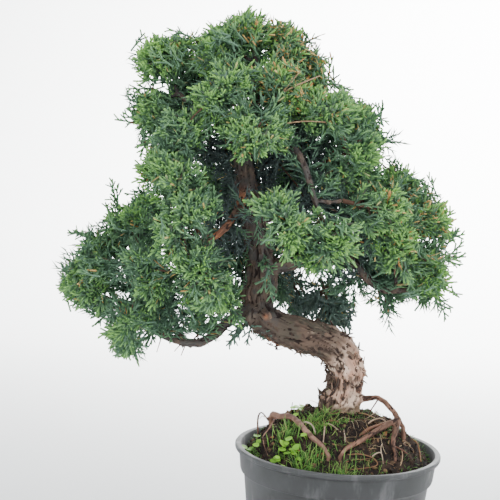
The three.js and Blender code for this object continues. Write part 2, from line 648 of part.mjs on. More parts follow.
function soilSolid() {
  const outline = [
    [innerRadius(POT_FLOOR + SEAT_GAP) - SEAT_GAP, POT_FLOOR + SEAT_GAP],
    [innerRadius(WALL_TOP_Z) - SEAT_GAP, WALL_TOP_Z],
    [INNER_RIM_RADIUS - SEAT_GAP, COLLAR_FOOT_Z + 1],
    [INNER_RIM_RADIUS - SEAT_GAP, null],
  ];
  const rings = outline.map(([radius, z]) => ({ radius, z }));
  const rimRadius = rings.at(-1).radius;
  for (let k = SOIL_RINGS - 1; k > 0; k--) rings.push({ radius: (rimRadius * k) / SOIL_RINGS, z: null });
  const position = [];
  for (const { radius, z } of rings) {
    for (let i = 0; i < SOIL_SECTORS; i++) {
      const angle = ((i + 0.5) / SOIL_SECTORS) * 2 * Math.PI;
      // Half a facet's sagitta is kept free, so that the soil's corners stay inside the pot's flats.
      const r = radius * Math.cos(Math.PI / POT_FACETS);
      const [x, y] = [r * Math.cos(angle), r * Math.sin(angle)];
      position.push(x, y, z ?? soilHeight(x, y));
    }
  }
  const foot = position.length / 3;
  position.push(0, 0, rings[0].z);
  position.push(0, 0, soilHeight(0, 0));
  const index = [];
  const lastRing = (rings.length - 1) * SOIL_SECTORS;
  for (let i = 0; i < SOIL_SECTORS; i++) {
    const next = (i + 1) % SOIL_SECTORS;
    for (let k = 0; k < rings.length - 1; k++) {
      const [a, b] = [k * SOIL_SECTORS + i, k * SOIL_SECTORS + next];
      index.push(a, b, b + SOIL_SECTORS, a, b + SOIL_SECTORS, a + SOIL_SECTORS);
    }
    index.push(foot, next, i);
    index.push(foot + 1, lastRing + i, lastRing + next);
  }
  const geometry = new THREE.BufferGeometry();
  geometry.setAttribute("position", new THREE.Float32BufferAttribute(position, 3));
  geometry.setIndex(index);
  return solid(geometry);
}

// The loose root and its rootlets, one piece.
const looseRoot = LOOSE_ROOT.map((points, i) => ({
  points,
  shape: i ? { sides: 3, steps: 5 } : { sides: 5, steps: 12 },
}));
addPiece("loose_root", union(looseRoot.map(({ points, shape }) => limb(points, shape))), BARK);
for (const { points, shape } of looseRoot) addRods("loose_root", points, shape.steps);

// Small plants stand in plain round holes in the soil, PLUG_DEPTH deep.
const PLUG_DEPTH = 6;
const HOLE_WIDTH = 1.25;
function plantHole(x, y, radius) {
  const z = soilHeight(x, y);
  const hole = [x, y, z - PLUG_DEPTH, radius * HOLE_WIDTH];
  return limb([hole, [x, y, z + PLUG_DEPTH, radius * HOLE_WIDTH]], { sides: 6, steps: 1, grow: SEAT_GAP });
}

// Grass tufts as [name, x, y, blades, blade length, plug radius].
const GRASS_TUFTS = [
  ["grass_by_trunk", -13, -14, 15, 14, 2.6],
  ["grass_front", 1, -45, 14, 13, 2.4],
  ["grass_front_left", -20, -40, 14, 13, 2.4],
  ["grass_left", -33, -18, 13, 12, 2.6],
  ["grass_right", 13, -40, 9, 9, 2],
];
function inTheOpen({ x, y, z }) {
  return z > soilHeight(x, y) + 1.5 && (z > POT_HEIGHT + 2 || Math.hypot(x, y) < INNER_RIM_RADIUS - 1.5);
}
const GRASS_LEANS = [36, 28, 46, 56];
function grassTuft(name, x, y, blades, length, radius, seed) {
  const at = (rise) => new THREE.Vector3(x, y, soilHeight(x, y) + rise);
  const heights = [0.4, 1.9, 3.4, 4.8, 6];
  const crown = rodBetween(at(0), at(length), 0.5 * radius, 0.3, name);
  const tuft = { name, rods: [crown], surface: new Growth(), draw: seededDraw(seed), fits: inTheOpen };
  Object.assign(tuft, { middle: at(0), reach: 1.2 * length });
  const rings = heights.map((height, i) => [at(height), radius * (0.85 - 0.14 * i)]);
  tuft.surface.shoot(tuft.surface.foot(at(-PLUG_DEPTH), UP, radius), rings, at(length), crown);
  rods.push(crown);
  // Only every other facet grows a blade, so that no two blades share an edge.
  const facets = tuft.surface.free.filter(({ segment, side }) => segment > 0 && side % 2 === 0);
  for (let i = 0; i < blades && facets.length; i++) {
    const [facet] = facets.splice(Math.floor(tuft.draw() * facets.length), 1);
    raise(tuft, facet, length * (0.8 + 0.3 * tuft.draw()), 0.7, [], GRASS_LEANS);
  }
  return tuft.surface.solid();
}

// Seedlings as [name, x, y, leaves, leaf radius, height]: round leaves round the top of a short stalk.
const SEEDLINGS = [
  ["seedling_left", -47, -7, 4, 2, 4],
  ["seedling_front", -31, -30, 5, 2.2, 5],
  ["seedling_middle", -24, -31, 5, 2.2, 5],
  ["seedling_by_root", -22, 3, 4, 2, 5],
];
const STALK_RADIUS = 1.3;
function seedling(name, x, y, leaves, leafRadius, height) {
  const at = (rise) => new THREE.Vector3(x, y, soilHeight(x, y) + rise);
  const plant = new Growth();
  const stalk = [[at(0.3), STALK_RADIUS * 0.8], [at(height - 1.5), 0.7], [at(height), 0.7]];
  plant.shoot(plant.foot(at(-PLUG_DEPTH), UP, STALK_RADIUS), stalk, at(height + 1.5), "stalk");
  const whorl = plant.free.filter(({ segment }) => segment === 2);
  for (const facet of whorl.slice(0, leaves)) {
    const from = plant.middle(facet.ring);
    const direction = plant.facing(facet.ring).addScaledVector(UP, 0.35).normalize();
    const flat = UP.clone().addScaledVector(direction, -direction.z).normalize();
    const out = (share) => from.clone().addScaledVector(direction, share * leafRadius);
    const rod = rodBetween(out(1.2), out(3), leafRadius, 0.6 * leafRadius, name);
    const others = rods.filter(({ owner }) => owner !== name);
    if (!clear(rod, LEAF_GAP, others) || !inTheOpen(out(3.2))) continue;
    const rings = [[out(0.6), 0.35], [out(1.3), 0.9 * leafRadius, flat], [out(2.2), leafRadius, flat]];
    plant.shoot(plant.take(facet), rings, out(3), "leaf");
  }
  return plant.solid();
}

// The soil, with a plain hole for everything that stands in it.
let soil = soilSolid();
soil = soil.subtract(limb(LOWER_TRUNK, { ...LOWER_TRUNK_SHAPE, grow: SEAT_GAP }));
for (const points of ROOTS) soil = soil.subtract(limb(points, { ...ROOT_SHAPE, grow: SEAT_GAP }));
for (const { points, shape } of looseRoot) soil = soil.subtract(limb(points, { ...shape, grow: SEAT_GAP }));
GRASS_TUFTS.forEach(([name, x, y, blades, length, radius], i) => {
  soil = soil.subtract(plantHole(x, y, radius));
  addPiece(name, grassTuft(name, x, y, blades, length, radius, 40 + i), GRASS);
});
for (const [name, x, y, leaves, leafRadius, height] of SEEDLINGS) {
  soil = soil.subtract(plantHole(x, y, STALK_RADIUS));
  addPiece(name, seedling(name, x, y, leaves, leafRadius, height), GRASS);
}
addPiece("soil", soil, SOIL);

export default tree;
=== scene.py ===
# %% [markdown]
# # Dressing a Chinese juniper bonsai
# The tree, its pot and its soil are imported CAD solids. This script loads them as a fixed frame and
# dresses each one: whipcord foliage on the tufts, stringy bark on the wood, crumbly soil with moss
# and grass, and a worn plastic pot. All lengths are in metres, so a millimetre has a name.

import math

import bmesh
import bpy
import numpy as np
from mathutils import Matrix, Vector, noise
from mathutils.bvhtree import BVHTree
from mathutils.kdtree import KDTree


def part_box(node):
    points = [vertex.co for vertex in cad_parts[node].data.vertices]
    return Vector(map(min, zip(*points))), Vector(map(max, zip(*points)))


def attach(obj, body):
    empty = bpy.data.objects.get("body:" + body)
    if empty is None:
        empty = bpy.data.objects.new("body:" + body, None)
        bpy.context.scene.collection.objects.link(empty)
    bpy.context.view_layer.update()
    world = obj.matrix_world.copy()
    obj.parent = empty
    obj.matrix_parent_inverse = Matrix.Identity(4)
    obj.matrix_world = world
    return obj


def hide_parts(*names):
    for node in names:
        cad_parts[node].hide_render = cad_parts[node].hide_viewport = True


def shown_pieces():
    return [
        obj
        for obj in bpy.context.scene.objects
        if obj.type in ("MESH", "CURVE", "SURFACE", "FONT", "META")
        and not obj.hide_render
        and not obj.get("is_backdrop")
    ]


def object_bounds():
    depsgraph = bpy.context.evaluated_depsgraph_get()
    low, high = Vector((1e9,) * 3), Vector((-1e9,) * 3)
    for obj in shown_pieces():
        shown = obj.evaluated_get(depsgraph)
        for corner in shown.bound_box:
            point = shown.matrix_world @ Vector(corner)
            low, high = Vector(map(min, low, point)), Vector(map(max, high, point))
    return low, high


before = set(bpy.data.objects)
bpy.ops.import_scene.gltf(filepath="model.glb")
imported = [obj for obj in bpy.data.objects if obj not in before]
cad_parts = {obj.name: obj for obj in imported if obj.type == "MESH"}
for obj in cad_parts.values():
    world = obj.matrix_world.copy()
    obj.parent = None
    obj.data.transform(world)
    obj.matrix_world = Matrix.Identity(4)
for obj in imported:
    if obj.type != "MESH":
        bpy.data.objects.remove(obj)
CAD_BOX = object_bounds()
MM = 0.001
UP = Vector((0, 0, 1))
print("packed box in mm:", [[round(c / MM, 1) for c in corner] for corner in CAD_BOX])

# %% [markdown]
# ## The camera
# The photograph was taken from about 77 cm in front, a little above the tree's middle, with a long
# lens. A camera could be turned by eye, but here its place was worked out from the pot's rim, the
# trunk's foot and the known height, so it is given as numbers. It looks along +Y, tips down a few
# degrees and is rolled a little, because the pot's rim slopes down to the right in the picture.

# %% Place the camera
CAMERA_PLACE = Vector((-57.3, -771.3, 309.4)) * MM
CAMERA_DOWN = math.radians(6.85)
CAMERA_ROLL = math.radians(3.3)
LENS_MM = 98.1


def linked(name, data):
    """A new object in the scene, from a mesh, a curve, a lamp or a lens."""
    piece = bpy.data.objects.new(name, data)
    bpy.context.scene.collection.objects.link(piece)
    return piece


lens = bpy.data.cameras.new("camera")
lens.lens = LENS_MM
lens.sensor_width = 36
lens.clip_start = 0.05
lens.clip_end = 30
camera = linked("camera", lens)
turn = Matrix.Rotation(math.pi / 2 - CAMERA_DOWN, 4, "X") @ Matrix.Rotation(CAMERA_ROLL, 4, "Z")
camera.matrix_world = Matrix.Translation(CAMERA_PLACE) @ turn
bpy.context.scene.camera = camera
print("camera height in mm:", round(CAMERA_PLACE.z / MM, 1))

# %% [markdown]
# ## Shader maths as Python
# A finish is a web of small nodes. Wiring each one by hand hides the sum that it makes, so one
# class holds a material's nodes and another wraps a socket: then `1 - mask * 0.4` adds the Math
# nodes for itself. Colours are blended by a Mix node, because a Math node would turn them grey.

# %% A wrapped socket and a material that makes nodes
class Value:
    """A shader socket that can be written in sums."""

    def __init__(self, finish, socket):
        self.finish = finish
        self.socket = socket

    def __add__(self, other):
        return self.finish.maths("ADD", self, other)

    __radd__ = __add__

    def __sub__(self, other):
        return self.finish.maths("SUBTRACT", self, other)

    def __rsub__(self, other):
        return self.finish.maths("SUBTRACT", other, self)

    def __mul__(self, other):
        return self.finish.maths("MULTIPLY", self, other)

    __rmul__ = __mul__

    def step(self, low, high):
        """0 below low, 1 above high, and a soft rise between them."""
        settings = {"interpolation_type": "SMOOTHSTEP"}
        return self.finish.node("ShaderNodeMapRange", settings, {0: self, 1: low, 2: high})


NOISE_ROUGHNESS = 0.55


class Finish:
    """A material whose nodes all come from one method."""

    def __init__(self, name):
        self.material = bpy.data.materials.new(name)
        self.material.use_nodes = True
        self.tree = self.material.node_tree
        self.tree.nodes.clear()

    def node(self, kind, settings, sockets, out=0):
        made = self.tree.nodes.new(kind)
        for name, value in settings.items():
            if name == "stops":
                self.set_stops(made.color_ramp, value)
            else:
                setattr(made, name, value)
        for name, value in sockets.items():
            if isinstance(value, Value):
                self.tree.links.new(value.socket, made.inputs[name])
            else:
                made.inputs[name].default_value = value
        return Value(self, made.outputs[out]) if made.outputs else made

    def set_stops(self, ramp, stops):
        while len(ramp.elements) < len(stops):
            ramp.elements.new(0.5)
        for element, (position, colour) in zip(ramp.elements, stops):
            element.position = position
            element.color = (*srgb(*colour), 1)

    def maths(self, operation, first, second=0.0):
        return self.node("ShaderNodeMath", {"operation": operation}, {0: first, 1: second})

    def attribute(self, name, out="Fac"):
        return self.node("ShaderNodeAttribute", {"attribute_name": name}, {}, out)

    def place(self):
        return self.node("ShaderNodeTexCoord", {}, {}, "Object")

    def stretched(self, place, along):
        """A place whose third coordinate counts less, so that a pattern is drawn out along it."""
        return self.node("ShaderNodeMapping", {}, {"Vector": place, "Scale": (1, 1, along)})

    def noise(self, scale, detail, place=None):
        sockets = {"Vector": place or self.place(), "Scale": scale, "Detail": detail}
        return self.node("ShaderNodeTexNoise", {}, {**sockets, "Roughness": NOISE_ROUGHNESS})

    def blend(self, share, first, second):
        """A colour between two others, each of them a socket or a colour as a screen shows it."""
        first, second = [c if isinstance(c, Value) else (*srgb(*c), 1) for c in (first, second)]
        return self.node("ShaderNodeMix", {"data_type": "RGBA"}, {0: share, 6: first, 7: second}, 2)

    def layered(self, colour, *layers):
        """A colour with others laid over it in turn, each by its own share."""
        for share, top in layers:
            colour = self.blend(share, colour, top)
        return colour

    def ramp(self, share, stops):
        return self.node("ShaderNodeValToRGB", {"stops": stops}, {"Fac": share})

    def surface(self, colour, roughness, height=None, depth=0, strength=1.0, shine=0.5):
        """The finished material, with a relief of some depth where a height is given."""
        sockets = {"Base Color": colour, "Roughness": roughness, "Specular IOR Level": shine}
        if height:
            relief = {"Height": height, "Distance": depth, "Strength": strength}
            sockets["Normal"] = self.node("ShaderNodeBump", {}, relief)
        shader = self.node("ShaderNodeBsdfPrincipled", {}, sockets)
        self.node("ShaderNodeOutputMaterial", {}, {"Surface": shader})
        return self.material


def srgb(red, green, blue):
    """A colour as a screen shows it, from 0 to 255, in the shader's own linear scale."""
    shares = [channel / 255 for channel in (red, green, blue)]
    return tuple(s / 12.92 if s <= 0.04045 else ((s + 0.055) / 1.055) ** 2.4 for s in shares)


print("mid grey as a shader sees it:", round(srgb(128, 128, 128)[0], 3))

# %% [markdown]
# ## Floor and light
# The tree stood before a pale seamless sheet in soft light. A plane whose back edge is drawn up
# and rounded gives the same, with no line where floor and wall meet. One broad light above the
# camera's right shoulder and a weaker one on the left leave only soft shadows, a third one
# brightens the sheet behind the tree, and a pale world fills the rest.

# %% A seamless pale sheet
FLOOR_SIZE = 8
SHEET_BEHIND = 1.6
SHEET_HEIGHT = 4
SHEET_CURVE = 0.8


def deselect():
    bpy.ops.object.select_all(action="DESELECT")


def take(piece):
    """Makes a piece the only one that the next operator acts on."""
    deselect()
    piece.select_set(True)
    bpy.context.view_layer.objects.active = piece
    return piece


def edit(piece, kind="FACE", test=lambda part: True):
    """Opens a piece in edit mode with only the parts selected that a test picks."""
    take(piece)
    bpy.ops.object.mode_set(mode="EDIT")
    bpy.ops.mesh.select_mode(type=kind)
    bpy.ops.mesh.select_all(action="DESELECT")
    skin = bmesh.from_edit_mesh(piece.data)
    parts = {"VERT": skin.verts, "EDGE": skin.edges, "FACE": skin.faces}[kind]
    for part in parts:
        part.select_set(bool(test(part)))
    bmesh.update_edit_mesh(piece.data)


def close():
    bpy.ops.object.mode_set(mode="OBJECT")


def modify(piece, kind, **settings):
    """Adds a modifier and applies it at once."""
    take(piece)
    modifier = piece.modifiers.new(kind.lower(), kind)
    for name, value in settings.items():
        setattr(modifier, name, value)
    bpy.ops.object.modifier_apply(modifier=modifier.name)


def new_piece(add, **settings):
    """A new primitive, alone selected, with its place taken up into its mesh."""
    deselect()
    add(**settings)
    bpy.ops.object.transform_apply(location=True)
    return bpy.context.object


def shade(piece, smooth=True):
    take(piece)
    style = bpy.ops.object.shade_smooth if smooth else bpy.ops.object.shade_flat
    style()


plane_middle = (0, SHEET_BEHIND - FLOOR_SIZE / 2, 0)
floor = new_piece(bpy.ops.mesh.primitive_plane_add, size=FLOOR_SIZE, location=plane_middle)
floor.name = "floor"
edit(floor, "EDGE", lambda edge: all(v.co.y > SHEET_BEHIND - MM for v in edge.verts))
bpy.ops.mesh.extrude_region_move(TRANSFORM_OT_translate={"value": (0, 0, SHEET_HEIGHT)})
close()
edit(floor, "EDGE", lambda edge: all(v.co.y > SHEET_BEHIND - MM and v.co.z < MM for v in edge.verts))
bpy.ops.mesh.bevel(offset=SHEET_CURVE, segments=16, affect="EDGES")
close()
shade(floor)

sheet = Finish("pale_sheet")
mottle = sheet.noise(1.5, 2)
sheet_colour = sheet.blend(mottle, (222, 223, 222), (229, 230, 229))
floor.data.materials.append(sheet.surface(sheet_colour, 0.9))
floor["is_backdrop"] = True
print("floor faces:", len(floor.data.polygons))

# %% Soft lights
def soft_light(name, place, target, size, power, spread=180):
    lamp = bpy.data.lights.new(name, "AREA")
    lamp.shape = "DISK"
    lamp.size = size
    lamp.energy = power
    lamp.spread = math.radians(spread)
    light = linked(name, lamp)
    light.location = place
    light.rotation_mode = "QUATERNION"
    light.rotation_quaternion = (Vector(target) - Vector(place)).to_track_quat("-Z", "Y")


soft_light("window", (1.1, -1.2, 1.7), (0, 0, 0.2), 1.6, 16.5)
soft_light("reflector", (-1.4, -1.0, 0.9), (0, 0, 0.2), 1.4, 4)
soft_light("sheet_light", (0.72, 0.8, 2.1), (0.4, 1.6, 0.5), 1.0, 150, 76)
sky = bpy.data.worlds.new("pale_room")
sky.use_nodes = True
background = sky.node_tree.nodes["Background"]
background.inputs["Color"].default_value = (0.91, 0.95, 1, 1)
background.inputs["Strength"].default_value = 1.9
bpy.context.scene.world = sky

# %% [markdown]
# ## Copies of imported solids
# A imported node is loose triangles, and it must not be changed. A piece that starts from its shape
# is therefore a copy with the doubled points merged. A few helpers read and write whole meshes as
# arrays, because the foliage has hundreds of thousands of points.

# %% Copy, read, write and hand over a piece
WELD = 0.01 * MM


def packed_copy(node):
    """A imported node's shape as a new piece with one closed skin."""
    piece = linked(node + "_copy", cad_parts[node].data.copy())
    piece.data.materials.clear()
    edit(piece, "VERT")
    bpy.ops.mesh.customdata_custom_splitnormals_clear()
    bpy.ops.mesh.remove_doubles(threshold=WELD)
    close()
    return piece


def rows_of(items, name, width, kind=np.float32):
    """A row of numbers for each of a mesh's points, edges or faces."""
    flat = np.empty(width * len(items), kind)
    items.foreach_get(name, flat)
    return flat.reshape(-1, width)


def points_of(mesh):
    return rows_of(mesh.vertices, "co", 3).astype(float)


def normals_of(mesh):
    return rows_of(mesh.vertex_normals, "vector", 3).astype(float)


def put_points(mesh, points):
    mesh.vertices.foreach_set("co", np.asarray(points, np.float32).ravel())
    mesh.update()


def set_numbers(mesh, name, values):
    """Stores one number for each point, or one for all of them, for a finish to read."""
    layer = mesh.attributes.get(name) or mesh.attributes.new(name, "FLOAT", "POINT")
    values = np.zeros(len(mesh.vertices)) + values
    layer.data.foreach_set("value", values.astype(np.float32))


def hand_over(piece, name, finish, slot, *nodes):
    """Names a finished piece, ties it to the part and prints its size."""
    piece.name = name
    piece.data.name = name
    piece.data.materials.clear()
    piece.data.materials.append(finish)
    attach(piece, "root")
    if nodes:
        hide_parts(*nodes)
    print("triangles of", name + ":", count(piece))


def joined(pieces):
    """Several pieces made into one, which keeps the first one's name."""
    take(pieces[0])
    for piece in pieces:
        piece.select_set(True)
    bpy.ops.object.join()
    return pieces[0]


def count(piece):
    piece.data.calc_loop_triangles()
    return len(piece.data.loop_triangles)


tufts = sorted(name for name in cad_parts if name.startswith("spray_"))
print("tufts to dress:", len(tufts))

# %% [markdown]
# ## One cord of scale leaves
# A juniper of this kind has no needles but cords: tiny scales pressed to a thin green twig, about
# 1.3 mm thick and up to 9 mm long, blunt at the end. Tens of thousands are needed, so one cord has
# only a few faces. It starts as a three-sided cone and is cut across near its point, and the cut is
# swelled and turned, which keeps the cord full to its end and makes it knobbly like the scales. The
# cords deep inside the crown stay plain cones.

# %% Model the cord
CORD_LENGTH = 8 * MM
CORD_RADIUS = 0.78 * MM
CUT_HEIGHT = 0.88 * CORD_LENGTH
CUT_SWELL = 7.6
CUT_TURN = math.radians(40)


def cut_across(piece, height):
    edit(piece)
    bpy.ops.mesh.bisect(plane_co=(0, 0, height), plane_no=UP)
    close()


def in_triangles(piece):
    """Splits the faces into triangles and turns them all outwards."""
    edit(piece)
    bpy.ops.mesh.quads_convert_to_tris()
    bpy.ops.mesh.normals_make_consistent(inside=False)
    close()


def scale_cord(knobbly):
    half = (0, 0, CORD_LENGTH / 2)
    sizes = {"vertices": 3, "radius1": 0.8 * CORD_RADIUS, "radius2": 0, "depth": CORD_LENGTH}
    cord = new_piece(bpy.ops.mesh.primitive_cone_add, location=half, **sizes)
    if knobbly:
        cut_across(cord, CUT_HEIGHT)
        edit(cord, "VERT", lambda vert: abs(vert.co.z - CUT_HEIGHT) < WELD)
        middle = (0, 0, CUT_HEIGHT)
        bpy.ops.transform.resize(value=(CUT_SWELL, CUT_SWELL, 1), center_override=middle)
        bpy.ops.transform.rotate(value=CUT_TURN, orient_axis="Z", center_override=middle)
        close()
    in_triangles(cord)
    set_numbers(cord.data, "along", points_of(cord.data)[:, 2] / CORD_LENGTH)
    return cord


cord, plain_cord = scale_cord(True), scale_cord(False)
print("faces of a cord and of a plain one:", len(cord.data.polygons), len(plain_cord.data.polygons))

# %% [markdown]
# ## Sprigs of forking cords
# Cords fork at a narrow angle, first to one side and then to the other, and the lower ones fork
# again. A sprig is built from copies of the cord by that rule, with small seeded differences, and
# five sprigs of a size are enough for no repeat to be seen once each copy is turned and scaled.
# There are three sizes: full ones for the tips, small ones beside them, and plain ones inside.

# %% Grow the sprigs
SPRIG_KINDS = 5
SPRIG_LENGTH = 17 * MM
SIDE_LEAN = math.radians(32)
STEM_LEAN = 0.06


def lean_matrix(place, azimuth, lean, length, width):
    """Places a cord: turned round the sprig, leant outwards, then scaled to its own size."""
    turn = Matrix.Rotation(azimuth, 4, "Z") @ Matrix.Rotation(lean, 4, "Y")
    size = Matrix.Diagonal((width, width, length / CORD_LENGTH, 1))
    return Matrix.Translation(place) @ turn @ size


def end_of(place, azimuth, lean, length):
    turn = Matrix.Rotation(azimuth, 3, "Z") @ Matrix.Rotation(lean, 3, "Y")
    return place + turn @ Vector((0, 0, length))


def sprig(seed, side_cords, cord):
    draw = np.random.default_rng(seed)
    bend = draw.uniform(0, 2 * math.pi)
    foot = Vector((0, 0, 0))
    middle = end_of(foot, bend, STEM_LEAN, 0.52 * SPRIG_LENGTH)
    placed = [lean_matrix(foot, bend, STEM_LEAN, 0.56 * SPRIG_LENGTH, 1.05)]
    placed.append(lean_matrix(middle, bend, 0.2, 0.46 * SPRIG_LENGTH, 0.95))
    for i in range(side_cords):
        share = (i + 0.6) / side_cords
        height = (0.1 + 0.72 * share) * SPRIG_LENGTH
        start = end_of(foot, bend, STEM_LEAN + STEM_LEAN * share, height)
        azimuth = (i % 2) * math.pi + draw.uniform(-0.9, 0.9) + 0.3
        lean = SIDE_LEAN * draw.uniform(0.8, 1.25)
        length = (7.8 - 3.1 * share) * MM * draw.uniform(0.85, 1.15)
        placed.append(lean_matrix(start, azimuth, lean, length, 0.92))
        if share < 0.62:
            fork = end_of(start, azimuth, lean, 0.4 * length)
            side = 0.75 if i % 4 < 2 else -0.75
            placed.append(lean_matrix(fork, azimuth + side, lean + 0.25, 0.66 * length, 0.86))
    copies = []
    for matrix in placed:
        copy = linked("cord_copy", cord.data.copy())
        copy.data.transform(matrix)
        set_numbers(copy.data, "pick", draw.random())
        copies.append(copy)
    return joined(copies)


sprigs = [sprig(seed, 7, cord) for seed in range(SPRIG_KINDS)]
small_sprigs = [sprig(20 + seed, 4, cord) for seed in range(SPRIG_KINDS)]
inner_sprigs = [sprig(40 + seed, 6, plain_cord) for seed in range(SPRIG_KINDS)]
bpy.data.objects.remove(cord)
bpy.data.objects.remove(plain_cord)
print("triangles of a sprig of each size:", [count(kind[0]) for kind in (sprigs, small_sprigs, inner_sprigs)])

# %% [markdown]
# ## Many copies in one mesh
# Thousands of objects would be slow, and an exporter drops instances. So the points of a model are
# copied, turned and moved as one array, and each tuft becomes a single mesh in which every copy
# has points of its own. Numbers for the finish, such as a random tone, are stored per point.

# %% Heap copies of models into one mesh
def model_of(piece, names=("along",)):
    """A modelled piece as plain arrays, with the numbers stored under some names."""
    mesh = piece.data
    mesh.calc_loop_triangles()
    model = {"points": points_of(mesh), "corners": rows_of(mesh.loop_triangles, "vertices", 3, np.int32)}
    for name in names:
        model[name] = rows_of(mesh.attributes[name].data, "value", 1)[:, 0]
    bpy.data.objects.remove(piece)
    return model


def unit(ways):
    return ways / np.linalg.norm(ways, axis=1, keepdims=True)


def turned_to(headings, spins):
    """For each heading, a turn that takes +Z to it after a spin round +Z."""
    z = unit(headings)
    other = np.where(np.abs(z[:, 2:3]) < 0.9, [[0, 0, 1.0]], [[1.0, 0, 0]])
    x = unit(np.cross(other, z))
    y = np.cross(z, x)
    cos, sin = np.cos(spins)[:, None], np.sin(spins)[:, None]
    return np.stack([cos * x + sin * y, cos * y - sin * x, z], axis=2)


def random_turns(headings, sizes, draw):
    """Turns that take +Z to each heading after a random spin, scaled to each copy's size."""
    return turned_to(headings, draw.uniform(0, 2 * math.pi, len(headings))) * sizes[:, None, None]


def heap(name, groups):
    """One mesh from groups of (model, turns, places, numbers): each copy is turned, then moved."""
    points, corners, numbers, start = [], [], {}, 0
    for model, turns, places, stored in groups:
        copies, size = len(places), len(model["points"])
        if not copies:
            continue
        moved = np.einsum("nij,kj->nki", turns, model["points"]) + places[:, None, :]
        points.append(moved.reshape(-1, 3))
        steps = start + size * np.arange(copies)
        corners.append((model["corners"][None] + steps[:, None, None]).reshape(-1, 3))
        for key, values in stored.items():
            numbers.setdefault(key, []).append(np.repeat(values, size))
        for key in set(model) - {"points", "corners"}:
            numbers.setdefault(key, []).append(np.tile(model[key], copies))
        start += copies * size
    points, corners = np.concatenate(points), np.concatenate(corners)
    mesh = bpy.data.meshes.new(name)
    mesh.vertices.add(len(points))
    mesh.vertices.foreach_set("co", points.astype(np.float32).ravel())
    mesh.loops.add(corners.size)
    mesh.loops.foreach_set("vertex_index", corners.astype(np.int32).ravel())
    mesh.polygons.add(len(corners))
    mesh.polygons.foreach_set("loop_start", np.arange(0, corners.size, 3, dtype=np.int32))
    mesh.update(calc_edges=True)
    mesh.polygons.foreach_set("use_smooth", np.ones(len(corners), bool))
    for key, values in numbers.items():
        set_numbers(mesh, key, np.concatenate(values))
    return linked(name, mesh)


def sprig_model(made):
    model = model_of(made, ("along", "pick"))
    heights = model["points"][:, 2]
    model["outward"] = np.clip(heights / heights.max(), 0, 1).astype(np.float32)
    return model


sprig_models, small_models, inner_models = [
    [sprig_model(made) for made in kind] for kind in (sprigs, small_sprigs, inner_sprigs)
]
print("points in the first sprig:", len(sprig_models[0]["points"]))

# %% [markdown]
# ## The limbs' routes
# Foliage grows out of the limbs and bark runs along them, so both need to know where each limb
# lies. The routes are those that the imported solids were built along, repeated here: the trunk,
# then its limbs, then the roots.

# %% The routes of trunk, limbs and roots, as x, y, z and radius in mm
TRUNK_ROUTE = [
    (1.5, 8, 100, 15), (1, 8, 112, 14.8), (-0.2, 8, 124, 12.6), (2, 6, 136, 10.5), (2.2, 4, 150, 10.4),
    (-4.5, 2, 162, 10.4), (-18, -2, 168.8, 9.6), (-32.5, -4, 172.3, 9), (-44, -3, 178, 8.8),
    (-51, 0, 189, 9.6), (-50, 4, 203, 10.2), (-52, 6, 216, 8.8), (-56, 5, 232, 7.2), (-61, 1, 249, 6.2),
    (-64, -4, 266, 5.4), (-65, -6, 281, 4.8), (-62, -4, 296, 4), (-57, 0, 310, 3.2), (-59, 1, 322, 2.4),
]
FIRST_ROOT = 15
LIMB_ROUTES = [
    [(-48, -1, 184, 4.4), (-71, -6, 171, 3.3), (-94, -7, 163, 2.8), (-120, 4, 172, 2.2),
     (-130, 4, 181, 1.8)],
    [(-92, -7, 163, 2.4), (-101, -4, 178, 2.3), (-112, 0, 192, 2.1), (-122, 0, 206, 1.8)],
    [(-61, 2, 250, 3.4), (-66, -14, 239, 2.7), (-80, -26, 224, 2)],
    [(-66, -12, 240, 2.3), (-58, -28, 240, 2.1), (-48, -38, 238, 1.8)],
    [(-63, -4, 270, 3.6), (-77, -5, 286, 2.9), (-102, -4, 303, 2)],
    [(-64, -5, 286, 3.6), (-50, 0, 290, 2.9), (-20, 5, 292, 2)],
    [(-58, -1, 304, 2.9), (-40, 6, 314, 2)],
    [(-46, 3, 207, 5), (-12, 3, 215, 3.8), (1, 2, 214, 3.5), (18, -2, 199, 2.6), (30, -4, 199, 2.1)],
    [(-8, 3, 215, 2.8), (6, 6, 225, 2.5), (15, 6, 238, 2.2)],
    [(-64, -4, 268, 3), (-47, -16, 280, 2.5), (-34, -26, 275, 2.2), (-24, -36, 250, 1.8)],
    [(-50, 6, 206, 3.8), (-38, 22, 207, 3), (-20, 32, 209, 2.6), (0, 36, 216, 2.2)],
    [(-54, 6, 224, 3.6), (-66, 22, 222, 2.9), (-82, 32, 218, 2.4), (-98, 36, 214, 2)],
    [(-64, -3, 262, 3.4), (-66, 18, 268, 2.8), (-72, 32, 278, 2.2)],
    [(-65, 6, 264, 2.6), (-52, 24, 276, 2.4), (-42, 32, 283, 2)],
    [(1, 7, 124, 4), (10.7, 5, 132.2, 2.3), (23.1, -3, 135.3, 1.8), (32.9, -10, 126.3, 2),
     (37, -11, 100, 1.3)],
    [(33, -10, 126, 1.9), (14.8, -27, 119.3, 1.9), (-0.6, -38.5, 112, 1.5), (-1.5, -40, 102, 1.3)],
    [(33, -10, 126, 1.8), (28.9, -24, 116, 1.6), (30.5, -30, 100, 1.2)],
]
ROUTE_STEP = 1.5


def walk(route):
    """Places every millimetre and a half along a smooth line through the route's points."""
    line = np.array(route, float)
    ends = np.vstack([2 * line[0] - line[1], line, 2 * line[-1] - line[-2]])
    places = []
    for i in range(1, len(ends) - 2):
        before, start, end, after = ends[i - 1 : i + 3]
        steps = max(2, int(np.linalg.norm(end[:3] - start[:3]) / ROUTE_STEP))
        for t in np.arange(steps) / steps:
            curve = 2 * start + (end - before) * t + (2 * before - 5 * start + 4 * end - after) * t**2
            places.append((curve + (3 * start - before - 3 * end + after) * t**3) / 2)
    places.append(line[-1])
    return np.array(places)


